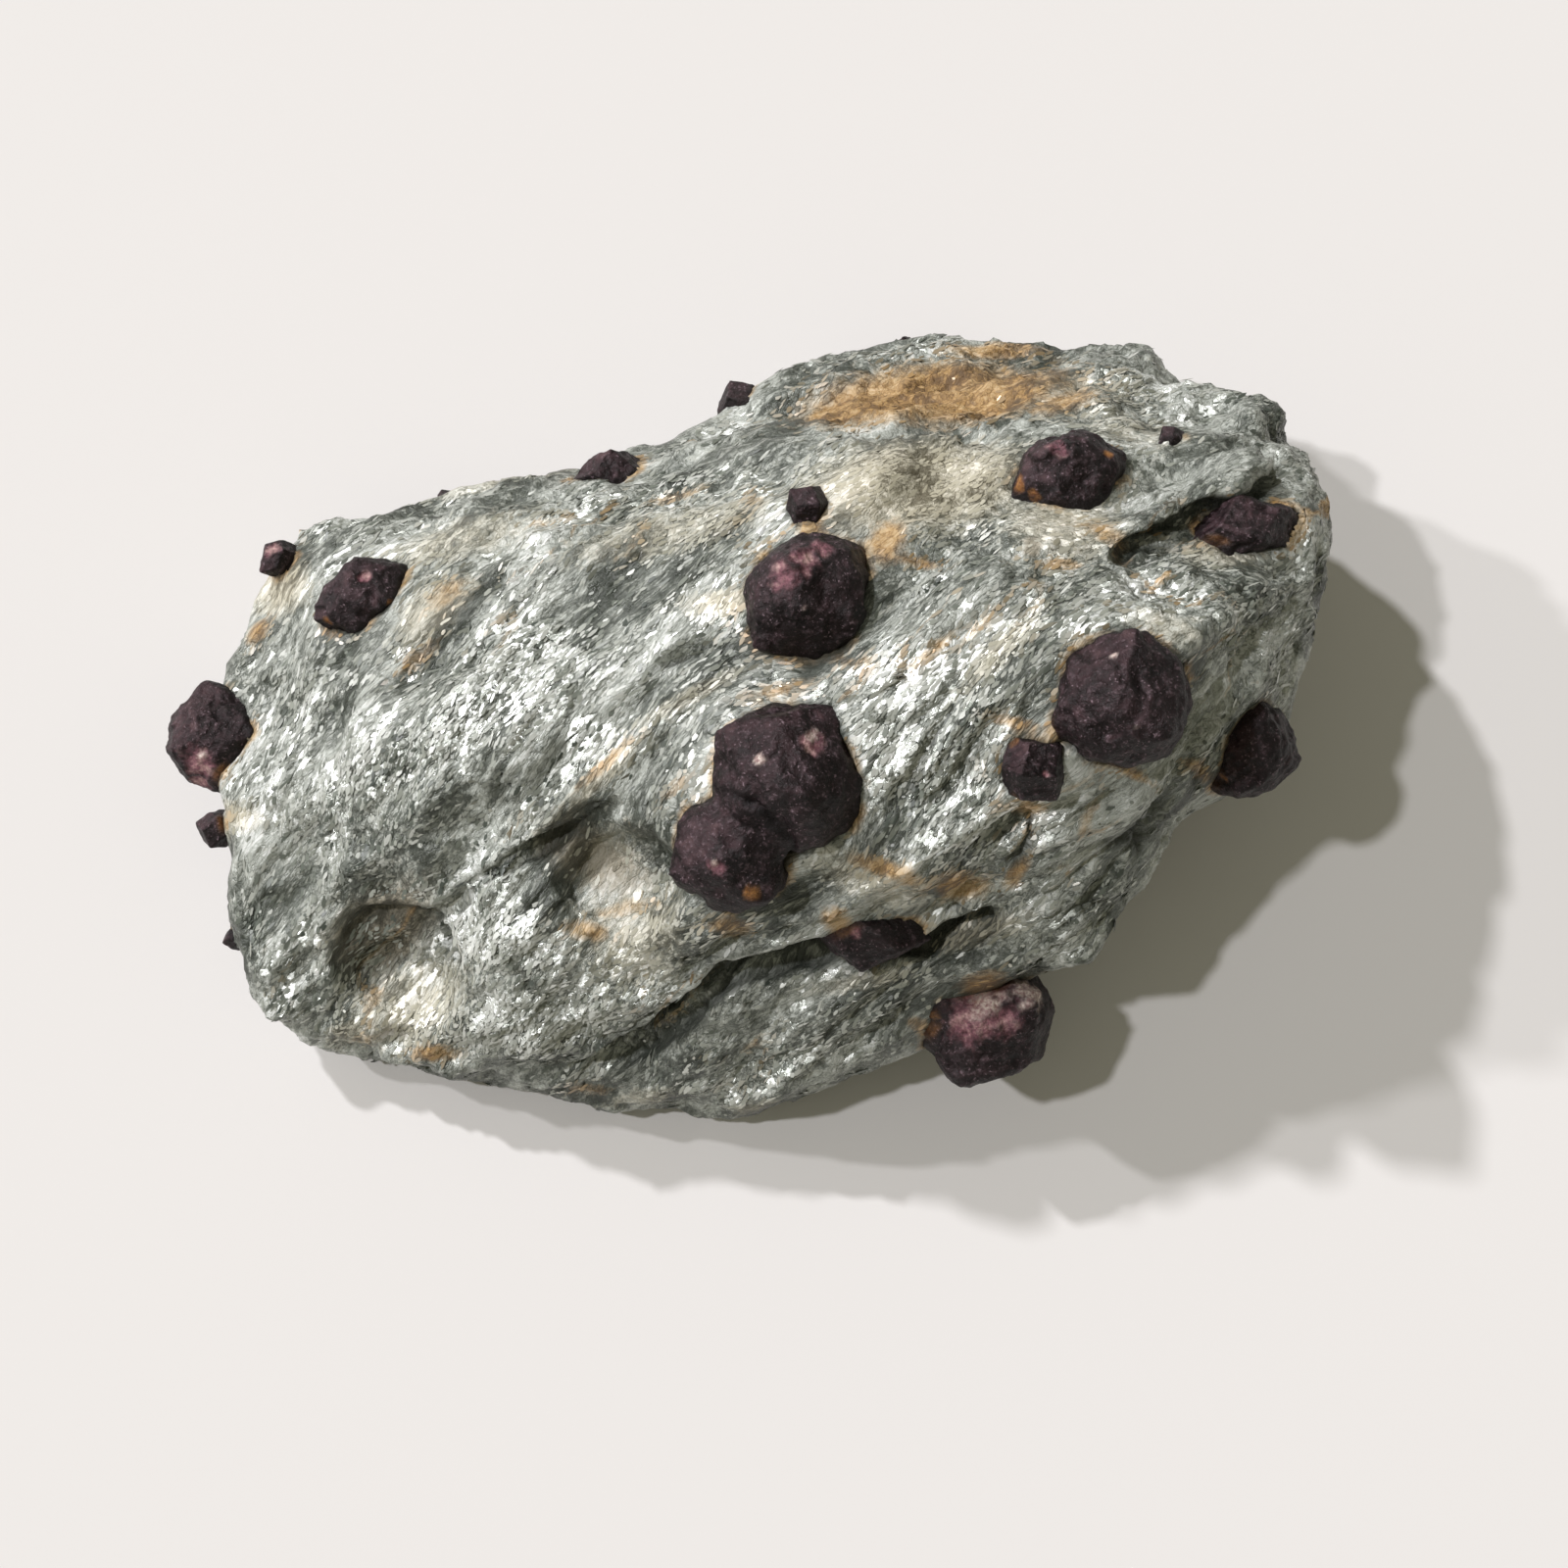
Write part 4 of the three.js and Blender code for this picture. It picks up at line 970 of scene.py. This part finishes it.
def one_scale():
    """A single mica scale one unit long: a thin six-sided plate that tapers to a point below."""
    rim = [
        (-0.5, 0.02, 0.04), (-0.22, 0.28, 0.05), (0.24, 0.24, 0.04),
        (0.5, -0.04, 0.05), (0.2, -0.27, 0.04), (-0.28, -0.22, 0.05),
    ]
    count = len(rim)
    faces = [tuple(range(count))]
    faces += [((i + 1) % count, i, count) for i in range(count)]
    mesh = bpy.data.meshes.new("mica_scale")
    mesh.from_pydata(rim + [(0, 0, -0.12)], [], faces)
    with edited(mesh) as shape:
        bmesh.ops.recalc_face_normals(shape, faces=shape.faces)
    return mesh


class SPECIMEN_OT_scales(bpy.types.Operator):
    """Strews the schist with single mica scales that stand a little proud"""
    bl_idname = "specimen.scales"
    bl_label = "Make the mica scales"

    def execute(self, context):
        look = context.scene.specimen_scales
        bed = bpy.data.objects["schist_lump"].data.copy()
        points = coordinates(bed)
        bare, lean, hollow = (np.empty(len(points)) for _ in range(3))
        for name, values in (("bare", bare), ("lean", lean), ("hollow", hollow)):
            bed.attributes[name].data.foreach_get("value", values)
        layers = layer_place(points)
        patchy = ease(-0.35, 0.35, noise(layers, (7, 2.6, 2.6), 61))
        bands = 0.3 * noise(layers, (9, 2.2, 2.2), 62) + 0.25 * noise(layers, (3.5, 1, 1), 63)
        store(
            bed,
            grain=grain_way(points),
            sheet=unit(normals(bed) + np.clip(lean, 0, 1)[:, None] * np.array(CLEAVAGE_FACE)),
            strewn=bare * np.clip(0.08 + 0.36 * patchy + 0.6 * lean, 0.03, 1),
            # scales are darker in hollows and cracks (painted shade) and paler where they lean to the
            # cleavage (painted sheen)
            bright=0.46 + bands + 0.3 * lean - 0.45 * hollow,
        )
        bed.calc_loop_triangles()
        area = sum(triangle.area for triangle in bed.loop_triangles)
        holder = new_object("scale_bed", bed)
        scale = new_object("scale_master", one_scale())
        material = mica_material(look)
        tree = strew_tree(scale, material)
        modifier = holder.modifiers.new("strew", "NODES")
        modifier.node_group = tree
        values = {"Density": look.count / area, "Length": look.length, "Seed": look.seed}
        for item in tree.interface.items_tree:
            if item.item_type == "SOCKET" and item.name in values:
                modifier[item.identifier] = values[item.name]
        graph = context.evaluated_depsgraph_get()
        mesh = bpy.data.meshes.new_from_object(holder.evaluated_get(graph))
        for thing in (holder, scale):
            bpy.data.objects.remove(thing)
        set_coordinates(mesh, np.clip(coordinates(mesh), *CAD_BOUNDS))
        piece = add_piece("mica_scales", mesh, material, "schist")
        piece.data.shade_flat()
        return {"FINISHED"}


# Lamps: name, how far to the right and to the back they stand, height in degrees, strength.
LAMPS = [
    ("key_lamp", -0.69, 0.72, 42, 1.8),
    ("side_lamp", -0.93, 0.37, 35, 1.05),
    ("steep_lamp", -1.0, 0.03, 60, 1.1),
]
LAMP_WIDTH = 2.5  # degrees across, which softens the shadows' edges
SKY_STRENGTH = 0.23
AIM = Vector((-0.15, -5.6, 20)) * MM  # what the eye looks at
BOARD_HALF = 2.0  # metres
SENSOR = 36  # mm across, the width that the lens is worked out for
NEAR_CLIP = 10 * MM


class SPECIMEN_OT_stage(bpy.types.Operator):
    """Sets out the board, the lamps and the camera"""
    bl_idname = "specimen.stage"
    bl_label = "Set the stage"

    def execute(self, context):
        look = context.scene.specimen_stage
        scene = context.scene
        corners = [(BOARD_HALF * i, BOARD_HALF * j, 0) for i, j in ((-1, -1), (1, -1), (1, 1), (-1, 1))]
        mesh = bpy.data.meshes.new("board")
        mesh.from_pydata(corners, [], [(0, 1, 2, 3)])
        mesh.materials.append(board_material(look))
        board = new_object("board", mesh)

        world = bpy.data.worlds.new("studio")
        world.use_nodes = True
        sky = world.node_tree.nodes["Background"].inputs
        sky["Color"].default_value = look.sky
        sky["Strength"].default_value = SKY_STRENGTH
        scene.world = world
        scene.view_settings.view_transform = "Standard"

        for name, right, back, rise, strength in LAMPS:
            lamp = bpy.data.lights.new(name, "SUN")
            lamp.energy = strength
            lamp.angle = math.radians(LAMP_WIDTH)
            lamp.color = look.lamp[:3]
            level = (RIGHT * right + BACK * back).normalized() * math.cos(math.radians(rise))
            way = level + Vector((0, 0, math.sin(math.radians(rise))))
            holder = new_object(name, lamp)
            holder.rotation_euler = way.to_track_quat("Z", "Y").to_euler()
            holder.location = way

        camera = bpy.data.cameras.new("camera")
        camera.sensor_width = SENSOR
        camera.lens = SENSOR * look.distance / look.view_width
        camera.clip_start = NEAR_CLIP
        scene.camera = new_object("camera", camera)
        scene.camera.location = AIM + EYE * look.distance
        scene.camera.rotation_euler = EYE.to_track_quat("Z", "Y").to_euler()
        return {"FINISHED"}


class SPECIMEN_PT_panel(bpy.types.Panel):
    """Lists the steps that build the specimen"""
    bl_idname = "SPECIMEN_PT_panel"
    bl_label = "Specimen"
    bl_space_type = "VIEW_3D"
    bl_region_type = "UI"
    bl_category = "Specimen"

    def draw(self, context):
        for step in STEPS:
            self.layout.operator(step.bl_idname)


SETTINGS = {
    "specimen_schist": SchistSettings,
    "specimen_scales": ScaleSettings,
    "specimen_garnets": GarnetSettings,
    "specimen_stage": StageSettings,
}
STEPS = [SPECIMEN_OT_schist, SPECIMEN_OT_garnets, SPECIMEN_OT_scales, SPECIMEN_OT_stage]


def register():
    for kind in [*SETTINGS.values(), *STEPS, SPECIMEN_PT_panel]:
        bpy.utils.register_class(kind)
    for name, kind in SETTINGS.items():
        setattr(bpy.types.Scene, name, bpy.props.PointerProperty(type=kind))


def unregister():
    for name in SETTINGS:
        delattr(bpy.types.Scene, name)
    for kind in [SPECIMEN_PT_panel, *reversed(STEPS), *SETTINGS.values()]:
        bpy.utils.unregister_class(kind)


def main():
    register()
    bpy.ops.specimen.schist()
    bpy.ops.specimen.garnets()
    bpy.ops.specimen.scales()
    bpy.ops.specimen.stage()


if __name__ == "__main__":
    main()
